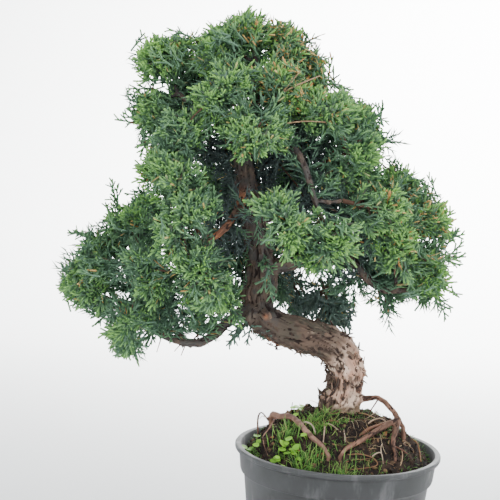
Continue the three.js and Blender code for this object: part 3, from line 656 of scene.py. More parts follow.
def frames_along(places):
    """The way ahead at each place and a side that turns as little as it can, for angles round it."""
    ahead = unit(np.gradient(places[:, :3], axis=0))
    side = np.cross(ahead[0], [0.31, 0.85, 0.2])
    sides = []
    for way in ahead:
        side = side - way * side.dot(way)
        side /= np.linalg.norm(side)
        sides.append(side)
    lengths = np.linalg.norm(np.diff(places[:, :3], axis=0), axis=1)
    run = np.concatenate([[0], np.cumsum(lengths)])
    return ahead, np.array(sides), run


ROUTES = [walk(route) for route in [TRUNK_ROUTE, *LIMB_ROUTES]]
LEAFY_ROUTES = ROUTES[2:FIRST_ROOT]
print("trunk length in mm:", round(float(frames_along(ROUTES[0])[2][-1]), 1))

# %% [markdown]
# ## Where the sprigs go
# Each packed tuft is a leafy stem whose branchlets end in sharp points. Those points, and the ways
# they head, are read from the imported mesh: a point is sharp where all its edges run back the same
# way. A sprig is set on every one, and shorter ones fill the spaces between neighbours and the
# tuft's inside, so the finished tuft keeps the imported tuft's form but is as dense as the real one.
# Long cords on the outermost points would reach past the real crown's outline, so some tufts are
# first drawn towards their feet and moved by a few millimetres.

# %% Read the branchlets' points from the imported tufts
SHARP = 0.9

# How far each tuft is drawn to its foot, as a share, and its moves to the right and up in mm.
FITTED = {
    "upper_left_top": (0.76, -1, 2), "upper_left_out": (0.74, 1, -4), "upper_left_under": (1, -2, -1),
    "apex_top": (0.86, 0, 0), "apex_left": (0.87, 0, 0), "apex_right": (0.9, 0, 0),
    "apex_right_low": (0.62, -1, -2), "upper_right": (0.84, 4, -7), "right_top": (0.82, 2, 0),
    "right_out": (0.9, 1, 0), "right_out_low": (0.76, -1, 1), "right_low_out": (0.54, -2, 10),
    "left_top": (0.78, 4, -1), "left_out": (0.84, 1, -3), "left_low": (0.93, 0, 0),
    "left_low_in": (0.92, 0, 0), "left_out_low": (1, -2, -1), "left_front_top": (1, -3, 0),
    "back_upper_left": (0.84, 0, 0), "right_under": (1, 0, -2), "under_right": (1, 0, -5),
    "under_right_back": (1, 0, -5),
}
limb_places = np.concatenate(ROUTES[:FIRST_ROOT])
limb_tree = KDTree(len(limb_places))
for i, place in enumerate(limb_places):
    limb_tree.insert(place[:3] * MM, i)
limb_tree.balance()


def drawn_in(name, points):
    """A tuft's points pulled towards its foot, where it leaves the wood, and moved, as FITTED says."""
    reach = []
    for point in points:
        _, i, gap = limb_tree.find(point)
        reach.append(gap - limb_places[i][3] * MM)
    foot = points[int(np.argmin(reach))]
    share, right, up = FITTED.get(name.replace("spray_", ""), (1, 0, 0))
    return foot + (points - foot) * share + np.array([right, 0, up]) * MM


def tuft_core(name):
    core = packed_copy(name)
    put_points(core.data, drawn_in(name, points_of(core.data)))
    return core


def branchlet_tips(mesh):
    """The sharp points of a mesh and the way that each one heads."""
    points = points_of(mesh)
    edges = rows_of(mesh.edges, "vertices", 2, np.int32)
    both = np.concatenate([edges, edges[:, ::-1]])
    ways = points[both[:, 0]] - points[both[:, 1]]
    ways /= np.maximum(np.linalg.norm(ways, axis=1, keepdims=True), 1e-9)
    total = np.zeros_like(points)
    edge_count = np.zeros(len(points))
    np.add.at(total, both[:, 0], ways)
    np.add.at(edge_count, both[:, 0], 1)
    mean = total / np.maximum(edge_count, 1)[:, None]
    sharp = np.linalg.norm(mean, axis=1) > SHARP
    return points[sharp], unit(mean[sharp])


tuft_tips = {}
for tuft in tufts:
    core = tuft_core(tuft)
    tuft_tips[tuft] = branchlet_tips(core.data)
    bpy.data.objects.remove(core)
all_tips = np.concatenate([tips for tips, _ in tuft_tips.values()])
tuft_middles = {tuft: tips.mean(axis=0) for tuft, (tips, _) in tuft_tips.items()}
print("branchlets' points in all:", len(all_tips))

# %% Set the sprigs on each tuft
SPRIG_BACK = 0.93
HEART_SPRIGS = 50
DEEP_SHADE = 0.9
NEIGHBOUR = 13 * MM
CROWN_MIDDLE = np.array(Vector((-52, 4, 235)) * MM)
SHADED_TUFTS = {"spray_under_right", "spray_under_right_back"}

# Small sprigs beside and behind the tips, as shares, then how young the three rows are; a negative
# youth gives the shaded tufts painted shade.
OPEN_ROWS = (0.8, 0.8, 1.0, 0.9, 0.6)
SHADED_ROWS = (0.3, 0.25, -0.6, -0.6, -0.6)


def swept(headings, places, draw, share=0.5):
    """Headings turned a little away from the crown's middle and upwards, as growing tips turn."""
    outwards = unit(places - CROWN_MIDDLE)
    return unit(headings + share * outwards + [0, 0, 0.2] + draw.normal(0, 0.12, headings.shape))


def filler_places(tips, headings, draw, wanted):
    """Shorter sprigs between neighbouring tips and behind them."""
    first = draw.integers(0, len(tips), wanted)
    gaps = np.linalg.norm(tips[first][:, None] - tips[None], axis=2)
    gaps[np.arange(wanted), first] = 1
    second = np.where(gaps.min(1) < NEIGHBOUR, gaps.argmin(1), first)
    between = unit(headings[first] + headings[second] + draw.normal(0, 0.4, (wanted, 3)))
    back = SPRIG_LENGTH * draw.uniform(1.0, 1.8, wanted)
    return (tips[first] + tips[second]) / 2 - between * back[:, None], between


def rise(values, start, span):
    """0 up to a start, 1 from a span beyond it, and a straight rise between them."""
    return np.clip((values - start) / span, 0, 1)


def dried_share(places):
    """Dead cords are common at the right of the apex and rare elsewhere."""
    x, z = places[:, 0] / MM, places[:, 2] / MM
    apex = rise(z, 292, 22) * rise(x, -68, 22)
    right = rise(x, 0, 20) * rise(z, 215, 20)
    return 0.025 + 0.17 * apex + 0.06 * right


def painted_sunlight_share(places):
    """Painted light: the apex and the right side, where the light falls, get more of the lighter, yellower
    young colour.
    """
    x, z = places[:, 0] / MM, places[:, 2] / MM
    return 1 + 0.4 * rise(z, 285, 35) + 0.25 * rise(x, -10, 40)


NEAR_WAY = math.cos(math.radians(8))


def share_out(places):
    """How far out places lie: 1 where the outermost tips that way are, 0 in the crown's middle."""
    tips = all_tips - CROWN_MIDDLE
    reach = np.linalg.norm(tips, axis=1)
    own = np.linalg.norm(places - CROWN_MIDDLE, axis=1)
    near = unit(places - CROWN_MIDDLE) @ (tips / reach[:, None]).T > NEAR_WAY
    furthest = (near * reach[None]).max(axis=1)
    return own / np.maximum(furthest, MM), own


def sprig_groups(models, places, headings, draw, low, high, young):
    """Groups for a heap: sprigs of a size between low and high, with the numbers the finish reads."""
    kinds = draw.integers(0, len(models), len(places))
    sizes = draw.uniform(low, high, len(places))
    turns = random_turns(headings, sizes, draw)
    luck = draw.random(len(places))
    dryness = dried_share(places) * draw.uniform(0.2, 1.8, len(places))
    # Painted shade: sprigs that end deep inside the crown get a negative youth, which the finish turns into a
    # dark blue-green; painted light raises the youth at the apex and the right side.
    lit = rise(share_out(places + headings * SPRIG_LENGTH * 0.8)[0], 0.5, 0.32)
    young_share_with_painted_light = young * painted_sunlight_share(places) * lit - DEEP_SHADE * (1 - lit)
    groups = []
    for kind, model in enumerate(models):
        own = kinds == kind
        stored = {"luck": luck[own], "dryness": dryness[own], "young": young_share_with_painted_light[own]}
        groups.append((model, turns[own], places[own], {**stored, "woody": np.zeros(own.sum())}))
    return groups


def same_numbers(copies, **numbers):
    """The same numbers for each of a row of copies."""
    return {name: np.full(copies, float(value)) for name, value in numbers.items()}


def twig_core(core, tips):
    """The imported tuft's own twigs as a group: brown near the limb and green near the points."""
    points = points_of(core.data)
    near = KDTree(len(tips))
    for i, tip in enumerate(tips):
        near.insert(tip, i)
    near.balance()
    reach = np.array([near.find(point)[2] for point in points]) / MM
    model = model_of(core, ())
    model["woody"] = rise(reach, 4, 7).astype(np.float32)
    stored = same_numbers(1, along=0.15, outward=0.1, pick=0.3, luck=0.2, dryness=0, young=0.3)
    return model, np.eye(3)[None], np.zeros((1, 3)), stored


def dress_tuft(name, seed):
    draw = np.random.default_rng(seed)
    core = tuft_core(name)
    tips, headings = tuft_tips[name]
    companions, fillers, *row_youths_with_painted_shade = SHADED_ROWS if name in SHADED_TUFTS else OPEN_ROWS
    ways = swept(headings, tips, draw)
    feet = tips - ways * SPRIG_BACK * SPRIG_LENGTH
    groups = sprig_groups(sprig_models, feet, ways, draw, 0.85, 1.15, row_youths_with_painted_shade[0])
    beside = draw.choice(len(tips), int(companions * len(tips)), replace=False)
    ways = unit(ways[beside] + draw.normal(0, 0.2, (len(beside), 3)))
    feet = tips[beside] - ways * SPRIG_LENGTH * draw.uniform(0.9, 1.25, len(beside))[:, None]
    groups += sprig_groups(small_models, feet, ways, draw, 0.8, 1.1, row_youths_with_painted_shade[1])
    feet, between = filler_places(tips, headings, draw, int(fillers * len(tips)))
    ways = swept(between, feet, draw)
    groups += sprig_groups(small_models, feet, ways, draw, 0.75, 1.05, row_youths_with_painted_shade[2])
    groups.append(twig_core(core, tips))
    return heap(name.replace("spray_", "foliage_"), groups)


foliage = {tuft: dress_tuft(tuft, 100 + seed) for seed, tuft in enumerate(tufts)}
print("foliage triangles in all:", sum(count(piece) for piece in foliage.values()))

# %% [markdown]
# ## Growth between the tufts
# On the real tree the tufts run into each other: thin twigs cross between them and carry short
# shoots, more shoots stand on the limbs themselves, and hardly any sky shows through. Setting them
# shoots, more shoots stand on the limbs themselves and in the heart of each tuft, and hardly any
# sky shows through. Setting them one by one would take too long, so rules do it. For each two
# tufts whose middles are near each other, a bent twig joins them, and small sprigs stand along it.
# Each leafy limb carries a row of small sprigs of its own, and each tuft has some round its
# middle. A list of shoots, each from one place to another, fills the hollows by the trunk.

# %% Model a bare twig and grow the twigs between neighbours
PAIR_REACH = 43 * MM
SPRIGS_PER_PAIR = 19
SPRIGS_PER_SHOOT = 26
TRUNK_TOP = 90
INNER_SHOOTS = [
    (-63, -2, 262, -92, 14, 272), (-40, 3, 290, -30, 13, 274), (-22, 5, 291, -15, 12, 275),
    (-65, 6, 264, -45, 18, 256), (-57, 5, 238, -26, 15, 246), (-54, 7, 224, -82, 14, 235),
    (-51, 6, 206, -71, 16, 207), (-50, 3, 194, -68, 14, 192), (-50, 6, 210, -31, 17, 223),
    (-2, 3, 215, 12, 7, 227), (9, 1, 208, -2, 6, 198), (20, -2, 198, 22, 2, 190), (-50, 8, 212, -62, 20, 216),
    (-86, -6, 165, -83, -17, 179), (-99, -6, 164, -96, -17, 177), (-126, 4, 178, -142, -9, 174),
    (-58, 2, 246, -40, 12, 236), (-61, 5, 250, -74, 18, 252), (-112, 0, 190, -128, -4, 190),
    (-38, 22, 207, -42, 20, 188), (-21, 5, 291, 13, 2, 283), (-70, 2, 276, -92, 20, 264),
    (-63, 2, 266, -50, 14, 250), (-30, 4, 291, -34, 14, 282), (-14, 6, 290, -20, 16, 270),
    (-47, 16, 270, -22, 20, 238), (-8, 4, 216, -12, 14, 236), (-53, 8, 214, -68, 16, 222),
    (-36, 2, 210, -36, 14, 222), (-84, -6, 165, -78, -12, 172), (-104, -6, 166, -106, -14, 176),
    (2, 3, 213, 14, 8, 212), (-30, 24, 207, -4, 26, 202), (-14, 12, 213, 8, 16, 206),
    (-90, 10, 286, -92, 18, 266), (-66, 10, 262, -50, 18, 266), (-28, 20, 280, -18, 20, 266),
    (-22, 18, 242, -2, 18, 234), (-14, -6, 244, 2, -4, 236), (-100, 8, 300, -112, 10, 290),
    (-106, 0, 318, -90, 4, 306), (-100, 6, 306, -90, -2, 317), (-88, 6, 310, -98, 10, 318),
    (-60, 12, 222, -60, 14, 196), (-28, 12, 246, -14, 14, 240), (-66, 8, 268, -82, 22, 266),
    (-66, 8, 260, -84, 20, 257), (-60, 10, 268, -44, 24, 264), (-28, 12, 283, -37, 22, 274),
    (-22, 12, 262, -26, 24, 273), (-30, 12, 244, -22, 18, 236), (-64, 8, 240, -80, 18, 238),
    (-64, 8, 222, -82, 14, 223),
]


def bare_twig():
    sizes = {"vertices": 4, "radius1": 0.6, "radius2": 0.42, "depth": 1}
    twig = new_piece(bpy.ops.mesh.primitive_cone_add, location=(0, 0, 0.5), **sizes)
    edit(twig)
    bpy.ops.mesh.quads_convert_to_tris()
    close()
    return model_of(twig, ())


bare = bare_twig()


def twig_group(starts, ends):
    """Bare twigs from each start to its end, as one group of copies."""
    ways = ends - starts
    lengths = np.linalg.norm(ways, axis=1)
    turns = turned_to(ways, np.zeros(len(ways)))
    turns[:, :, :2] *= MM
    turns[:, :, 2] *= lengths[:, None]
    numbers = {"along": 0.2, "outward": 0.1, "pick": 0.3, "luck": 0.3, "dryness": 0, "woody": 1}
    return bare, turns, starts, same_numbers(len(starts), young=0, **numbers)


def shoots_along(starts, ends, each, draw):
    """Bent twigs with small sprigs standing on them; the feet and headings of the sprigs."""
    bends = (starts + ends) / 2 + draw.normal(0, 2.2 * MM, starts.shape)
    groups = [twig_group(starts, bends), twig_group(bends, ends)]
    feet, headings = [], []
    for start, bend, end in zip(starts, bends, ends):
        share = draw.uniform(0.12, 1, each)[:, None]
        on_first = start + (bend - start) * share * 2
        on_second = bend + (end - bend) * (share * 2 - 1)
        feet.append(np.where(share < 0.5, on_first, on_second))
        way = (end - start) / np.linalg.norm(end - start)
        headings.append(0.45 * way + draw.normal(0, 0.75, (each, 3)))
    return groups, np.concatenate(feet), unit(np.concatenate(headings))


WELL_INSIDE = 46 * MM
ABOVE_LOW_LIMB = 190 * MM


def inside_crown(tips):
    """Tells which sprigs end no further from the crown's middle than the tufts' tips that way."""
    share, own = share_out(tips)
    return (share < 1) | (own < WELL_INSIDE)


def grow_between(seed):
    draw = np.random.default_rng(seed)
    names = [name for name in tuft_middles if name not in SHADED_TUFTS]
    pairs = []
    for i, one in enumerate(names):
        for two in names[i + 1 :]:
            if np.linalg.norm(tuft_middles[two] - tuft_middles[one]) < PAIR_REACH:
                pairs.append((tuft_middles[one], tuft_middles[two]))
    starts, ends = np.array(pairs).transpose(1, 0, 2)
    groups, feet, headings = shoots_along(starts, ends, SPRIGS_PER_PAIR, draw)
    inner = np.array(INNER_SHOOTS).reshape(-1, 2, 3) * MM
    more, inner_feet, inner_headings = shoots_along(inner[:, 0], inner[:, 1], SPRIGS_PER_SHOOT, draw)
    places = np.concatenate([route[len(route) // 3 :] for route in LEAFY_ROUTES] + [ROUTES[0][-TRUNK_TOP::2]])
    out = unit(draw.normal(0, 1, (len(places), 3)))
    limb_feet = (places[:, :3] + out * places[:, 3:] * 0.9) * MM
    feet, headings = np.concatenate([feet, limb_feet]), np.concatenate([headings, out])
    headings = swept(headings, feet, draw, 0.4)
    kept = inside_crown(feet + headings * SPRIG_LENGTH)
    feet = np.concatenate([feet[kept], inner_feet])
    headings = np.concatenate([headings[kept], swept(inner_headings, inner_feet, draw, 0.3)])
    low = feet[:, 2] < ABOVE_LOW_LIMB
    headings[low, 2] = np.abs(headings[low, 2])
    groups += more + sprig_groups(inner_models, feet, headings, draw, 0.75, 1.15, 0.3)
    print("pairs:", len(pairs), "sprigs:", len(feet))
    return heap("growth_between_tufts", groups)


def grow_within(seed):
    """Sprigs in the heart of every tuft, so that hardly any sky shows through it."""
    draw = np.random.default_rng(seed)
    feet, headings = [], []
    for tuft, (tips, _) in tuft_tips.items():
        wanted = HEART_SPRIGS // (4 if tuft in SHADED_TUFTS else 1)
        out = tips[draw.integers(0, len(tips), wanted)] - tuft_middles[tuft]
        feet.append(tuft_middles[tuft] + out * draw.uniform(0.0, 0.6, wanted)[:, None])
        headings.append(unit(unit(out) + draw.normal(0, 0.6, out.shape)))
    feet, headings = np.concatenate(feet), np.concatenate(headings)
    kept = inside_crown(feet + headings * SPRIG_LENGTH)
    groups = sprig_groups(inner_models, feet[kept], headings[kept], draw, 0.75, 1.1, 0.3)
    return heap("growth_within_tufts", groups)


inner_growth = grow_between(77)
heart_growth = grow_within(79)
print("triangles between and within the tufts:", count(inner_growth), count(heart_growth))

# %% [markdown]
# ## Sprigs with a place of their own
# A sprig hangs on a bare green stem before the trunk, a few short ones stand at the start of the
# bend, and others stand where the crown's outline has a finger of its own. Each row has its own
# line from foot to tip, and its sprigs stand along that line.

# %% Set the sprigs one by one
# Each row: start and end in mm, sprigs, size and youth. A negative youth is painted shade, on the short
# sprigs at the start of the bend and the one hanging low at the back.
LONE_SHOOTS = [
    ((-48, -10, 213), (-46, -22, 206), 2, 0.8, 0.3), ((-46, -22, 206), (-45, -22, 196), 5, 0.8, 0.3),
    ((-57, -7, 175), (-67, -9, 170), 6, 0.75, -0.5), ((-54, -8, 172), (-53, -12, 169), 3, 0.6, -0.5),
    ((-48, -9, 171), (-47, -12, 168), 3, 0.5, -0.5), ((18, 4, 197), (19, 4, 188), 4, 0.8, 0),
    ((-132, 0, 236), (-140, 0, 249), 4, 0.7, 0.5), ((-148, -2, 219), (-156, -2, 226), 4, 0.7, 0.5),
    ((-126, -4, 285), (-131, -4, 286), 4, 0.8, 0.5), ((-118, -10, 276), (-121, -10, 273), 4, 0.8, 0.5),
    ((-110, -8, 172), (-109, -10, 163), 4, 0.8, 0.3), ((-98, -8, 170), (-95, -10, 163), 3, 0.7, 0.3),
    ((52, -4, 194), (56, -4, 188), 3, 0.7, 0.3), ((55, 0, 231), (59, 0, 233), 3, 0.7, 0.6),
    ((56, 0, 219), (62, 0, 221), 4, 0.8, 0.5), ((1, 30, 178), (2, 30, 170), 4, 0.8, -0.6),
    ((-135, 0, 176), (-142, 0, 173), 5, 0.8, 0.4), ((-150, 0, 186), (-156, 0, 182), 4, 0.8, 0.4),
]
LONE_BACK = 6 * MM


def set_lone_shoots(seed):
    draw = np.random.default_rng(seed)
    groups = []
    for start, end, wanted, size, young in LONE_SHOOTS:
        start, end = np.array(start) * MM, np.array(end) * MM
        groups.append(twig_group(start[None], start[None] + (end - start) * 0.5))
        way = (end - start) / np.linalg.norm(end - start)
        feet = start - way * LONE_BACK + (end - start) * ((np.arange(wanted) + 0.3) / wanted)[:, None]
        headings = unit(way + draw.normal(0, 0.3, feet.shape))
        own = sprig_groups(small_models, feet, headings, draw, 0.95, 1.1, young)
        for model, turns, places, stored in own:
            turns[:, :, 2] *= size
            groups.append((model, turns, places, {**stored, "young": np.full(len(places), young)}))
    return heap("lone_sprigs", groups)


lone_sprigs = set_lone_shoots(83)
print("triangles of the lone sprigs:", count(lone_sprigs))

# %% [markdown]
# ## The finish of the foliage
# In the open the cords are a soft mid green, and their young ends are lighter and yellower. Painted
# shade makes the sprigs deep in the crown, in the shaded tufts and a few lone ones a dark blue-green,
# and painted light makes the apex and the right side lighter and yellower. A few are dead, tan or
# orange-brown, and the twigs inside are brown. All of this follows numbers stored on the points: how
# far along its cord a point is, how far out on its sprig, a random tone, how young it is with its
# painted light and shade, and whether the sprig is dead or the twig is wood.

# %% Mix the greens
leaf = Finish("scale_leaves")
along, outward, pick = leaf.attribute("along"), leaf.attribute("outward"), leaf.attribute("pick")
luck, young = leaf.attribute("luck"), leaf.attribute("young")
cord_luck = leaf.maths("FRACT", pick + luck)
cord_tone = leaf.maths("FRACT", pick * 3.7 + luck * 5.3)
clouds = leaf.noise(26, 2)
chance = (cord_tone - 0.5) * 0.22 + (luck - 0.5) * 0.22 + (clouds - 0.5) * 0.8
young_share_with_painted_light = (along * 0.4 + outward * 0.5 + chance).step(0.2, 1.1) * young
old_green = leaf.blend(cord_tone, (98, 124, 106), (104, 139, 108))
dead = (cord_luck + leaf.attribute("dryness") - 1).step(0, 0.03)
dead_colour = leaf.blend(cord_tone, (226, 204, 132), (204, 146, 90))
twigs = leaf.blend(leaf.noise(220, 2), (78, 60, 52), (116, 88, 72))
scales = leaf.maths("SINE", along * 38)
leaf_colour = leaf.layered(
    old_green,
    # Painted shade where the youth is negative, a dark blue-grey green; the young colour after it also
    # carries the painted light of the apex and the right side.
    ((0 - young).step(0, 0.9), (98, 112, 108)),
    (young_share_with_painted_light, (141, 191, 96)),
    (dead, dead_colour),
    (leaf.attribute("woody"), twigs),
    ((scales * 0.5 + 0.5) * 0.08, (64, 88, 72)),
)
leaf_finish = leaf.surface(leaf_colour, 0.76 + 0.12 * cord_tone, scales, 0.05 * MM, 0.3, 0.08)
for tuft, piece in foliage.items():
    hand_over(piece, piece.name, leaf_finish, "foliage", tuft)
for piece in (inner_growth, heart_growth, lone_sprigs):
    hand_over(piece, piece.name, leaf_finish, "foliage")
print("dressed tufts:", len(foliage))

# %% [markdown]
# ## Bark that follows the wood
# Juniper bark is stringy: it splits lengthwise into fibres, with dark grooves between them, and
# it runs along the trunk wherever the trunk turns. So each point of the wood is given a place of
# its own: how far along its limb it lies, and where round it, by the limbs' routes given above.
# The skin is remeshed finely, then pushed in and out by noise that is stretched along the route,
# deeply on the trunk and hardly at all on a twig.

# %% Measure each point of the wood along its route
def bark_places(points):
    """For each point: its place across and along its limb in mm, the limb's radius and number, and
    the limb's way ahead there."""
    steps = []
    for number, places in enumerate(ROUTES):
        ahead, sides, run = frames_along(places)
        for i, place in enumerate(places):
            steps.append((place, ahead[i], sides[i], run[i], number))
    near = KDTree(len(steps))
    for i, step in enumerate(steps):
        near.insert(step[0][:3], i)
    near.balance()
    measured = np.empty((len(points), 8))
    for i, point in enumerate(points / MM):
        place, ahead, side, run, number = steps[near.find(point)[1]]
        out = point - place[:3]
        other = np.cross(ahead, side)
        measured[i] = out.dot(side), out.dot(other), run + out.dot(ahead), place[3], number, *ahead
    return measured


VOXEL = 0.85 * MM
wood = packed_copy("trunk_and_limbs")
modify(wood, "REMESH", mode="VOXEL", voxel_size=VOXEL, adaptivity=0)
modify(wood, "SMOOTH", factor=0.5, iterations=2)
print("triangles of the remeshed wood:", count(wood))

# %% Raise plates, cracks and pits
TRUNK_RELIEF = 1.25
KNOTS = [
    (-46, -10, 181, 3.5, 1.6), (6, -6, 143, 4, -1.4), (-25, -12, 174, 3.4, 1.2), (10, -3, 128, 4, 1.3),
    (10, 2, 149, 4.5, 1.5), (-40, -9, 172, 5, 1.0), (-2, -7, 136, 3.5, 1.1), (-49, -6, 190, 5, 0.9),
]
FOOT_RUN = 66
PITS = 46
PITS_ABOVE = 122 * MM

# The start of a left root is given a run, radius and number like the trunk's foot, in mm.
ROOT_START_RUN = 17
ROOT_START_X = 14 * MM
FOOT_LIKE = (30, 8, 0)
LIMB_RUN = 400


def bark_height(across, other, run):
    """Plates and strings along the route, knobs, cracks between them that the finish darkens as painted
    shade, and a little grain.
    """
    def wave(wide, long, shift=0):
        return noise.noise(Vector((across * wide, other * wide, run * long + shift)))

    run = min(run, FOOT_RUN) + 0.45 * max(run - FOOT_RUN, 0)
    drift = 2.6 * wave(0.11, 0.08)
    across, other = across + drift, other - drift
    strings = 1 - 2 * abs(wave(0.55, 0.13, 7))
    crack = math.exp(-((wave(0.4, 0.12, 11) / 0.07) ** 2))
    relief = 0.75 * wave(0.26, 0.08) + 0.8 * wave(0.3, 0.26, 5) + 0.5 * (strings - 0.5)
    return relief - 1.15 * crack + 0.5 * wave(1.2, 0.6, 3), crack


def raise_bark(piece, relief, seed):
    mesh = piece.data
    points, outs = points_of(mesh), normals_of(mesh)
    measured = bark_places(points)
    run, radii, number = measured[:, 2], measured[:, 3], measured[:, 4]
    root_start = (number >= FIRST_ROOT) & (run < ROOT_START_RUN) & (points[:, 0] < ROOT_START_X)
    measured[root_start, 2:5] = FOOT_LIKE
    heights, cracks = np.array([bark_height(*row[:3]) for row in measured]).T
    depth = relief * np.clip((radii - 1) / 7.5, 0.06, 1) * MM
    for x, y, z, size, rise in KNOTS:
        reach = np.linalg.norm(points / MM - [x, y, z], axis=1) / size
        heights += rise * np.exp(-2 * reach**2)
    draw = np.random.default_rng(seed)
    foot = np.flatnonzero((number == 0) & (run < FOOT_RUN) & (points[:, 2] > PITS_ABOVE))
    for centre in points[draw.choice(foot, PITS, replace=False)]:
        pit = np.exp(-((np.linalg.norm(points - centre, axis=1) / draw.uniform(0.9, 1.9) / MM) ** 2))
        heights -= 1.3 * pit
        # Each pit is stored as a crack, so the finish paints shade into it.
        cracks = np.maximum(cracks, pit)
    put_points(mesh, points + outs * (depth * heights)[:, None])
    set_numbers(mesh, "ridge", np.clip(0.5 + 0.5 * heights, 0, 1))
    set_numbers(mesh, "crack", cracks)
    set_numbers(mesh, "run", np.where(number == 0, run, LIMB_RUN))
    set_numbers(mesh, "rooted", number >= FIRST_ROOT)
    layer = mesh.attributes.new("fibre", "FLOAT_VECTOR", "POINT")
    layer.data.foreach_set("vector", (measured[:, :3] * MM).astype(np.float32).ravel())
    return measured


wood_measured = raise_bark(wood, TRUNK_RELIEF, 41)
shade(wood)
print("points of the wood:", len(wood.data.vertices))

# %% [markdown]
# ## Colours of the bark
# The foot is pale and pinkish with pits, the bend brown-grey with some olive and darker with painted
# shade from the crown above, the upper trunk dark with painted shade under the crown, and bare orange
# wood shows where a knot or a fork has been rubbed. The grooves, the low parts of the relief, the
# cracks and the pits are darkened with painted shade.

# %% Colour the bark
ORANGE_SPOTS = [
    (-46, -12, 181, 1.5), (9, -5, 160, 3.4), (-70, -17, 231, 6), (-64, -8, 246, 5), (-77, -24, 226, 5),
    (11, 3, 150, 3.2), (5, -8, 148, 2.5),
]
wood_points = points_of(wood.data)
rubbed = np.zeros(len(wood_points))
for x, y, z, size in ORANGE_SPOTS:
    rubbed += np.exp(-((np.linalg.norm(wood_points / MM - [x, y, z], axis=1) / size) ** 2))
set_numbers(wood.data, "rubbed", np.clip(rubbed, 0, 1))
own_foot = wood_measured[:, 4] < FIRST_ROOT
set_numbers(wood.data, "soiled", np.clip(13.6 - wood_points[:, 2] / MM / 10, 0, 1) * own_foot)

bark = Finish("stringy_bark")
fibre = bark.attribute("fibre", "Vector")
ridge = bark.attribute("ridge")
run = bark.attribute("run")
strands = bark.noise(560, 4, bark.stretched(fibre, 0.16))
patches = bark.noise(110, 3)
blotches = bark.noise(190, 3, bark.stretched(fibre, 0.4))
foot = 1 - run.step(52, 76)
upper = run.step(88, 112)


def mottled(patch, blotch, share, first, second, light):
    """Two tones in patches, with blotches of a lighter one."""
    base = bark.blend(patches.step(patch, 0.6), first, second)
    return bark.blend(blotches.step(blotch, 0.68) * share, base, light)


# The bend's and the upper trunk's darker tones are partly painted shade from the crown above them.
bare_skin = mottled(0.4, 0.58, 0.6, (238, 208, 184), (208, 166, 142), (240, 220, 202))
bend = mottled(0.4, 0.56, 0.7, (106, 88, 76), (84, 78, 68), (152, 130, 112))
upper_skin_with_painted_shade = mottled(0.42, 0.56, 0.6, (82, 78, 75), (100, 86, 76), (114, 102, 90))
reddish = mottled(0.4, 0.58, 0.6, (144, 106, 88), (106, 79, 66), (182, 146, 126))
skin = bark.layered(
    bend,
    (foot, bare_skin),
    (upper, upper_skin_with_painted_shade),
    (bark.attribute("rooted"), reddish),
    (bark.attribute("rubbed") * 0.8, (196, 126, 88)),
    # Painted shade: darker between the strands, in the low parts of the relief, and in the cracks and pits.
    ((1 - strands.step(0.36, 0.52)) * (0.45 - 0.2 * foot), (70, 56, 50)),
    ((1 - ridge.step(0.06, 0.38)) * (0.8 - 0.25 * foot), (58, 47, 43)),
    (bark.attribute("crack").step(0.3, 0.9) * 0.85, (44, 36, 34)),
    ((bark.attribute("soiled") + 0.8 * patches).step(0.75, 1.2) * 0.7, (86, 76, 52)),
)
bark_finish = bark.surface(skin, 0.84 + 0.1 * strands, strands + 0.6 * blotches, 0.7 * MM, 0.8, 0.15)
hand_over(wood, "bark_of_trunk_and_limbs", bark_finish, "bark", "trunk_and_limbs")

# %% [markdown]
# ## Loose flakes of bark
# Old bark lifts off in small plates. They are what makes the outline of the trunk ragged, above
# all under the bend and down the foot's left side. One plate is modelled from a cube: it is cut
# twice, narrowed and curled. Copies then lie along the wood with one end lifted.

# %% Model a flake and set the copies
FLAKES = 620
FLAKES_ABOVE = 123 * MM
FLAKY_RADIUS = 4.5


def bark_flake():
    flake = new_piece(bpy.ops.mesh.primitive_cube_add, size=1, location=(0, 0, 0.5))
    for height in (0.35, 0.7):
        cut_across(flake, height)
    points = points_of(flake.data)
    share = points[:, 2].copy()
    width = np.interp(share, [0, 0.35, 0.7, 1], [0.8, 1.0, 0.75, 0.2])
    points[:, 0] = points[:, 0] * width * 1.9 + 0.25 * np.sin(5 * share)
    points[:, 1] = points[:, 1] * 0.3 + 0.7 * share**2
    points[:, 2] = share * 4.2
    put_points(flake.data, points * MM)
    in_triangles(flake)
    set_numbers(flake.data, "along", share)
    return model_of(flake)


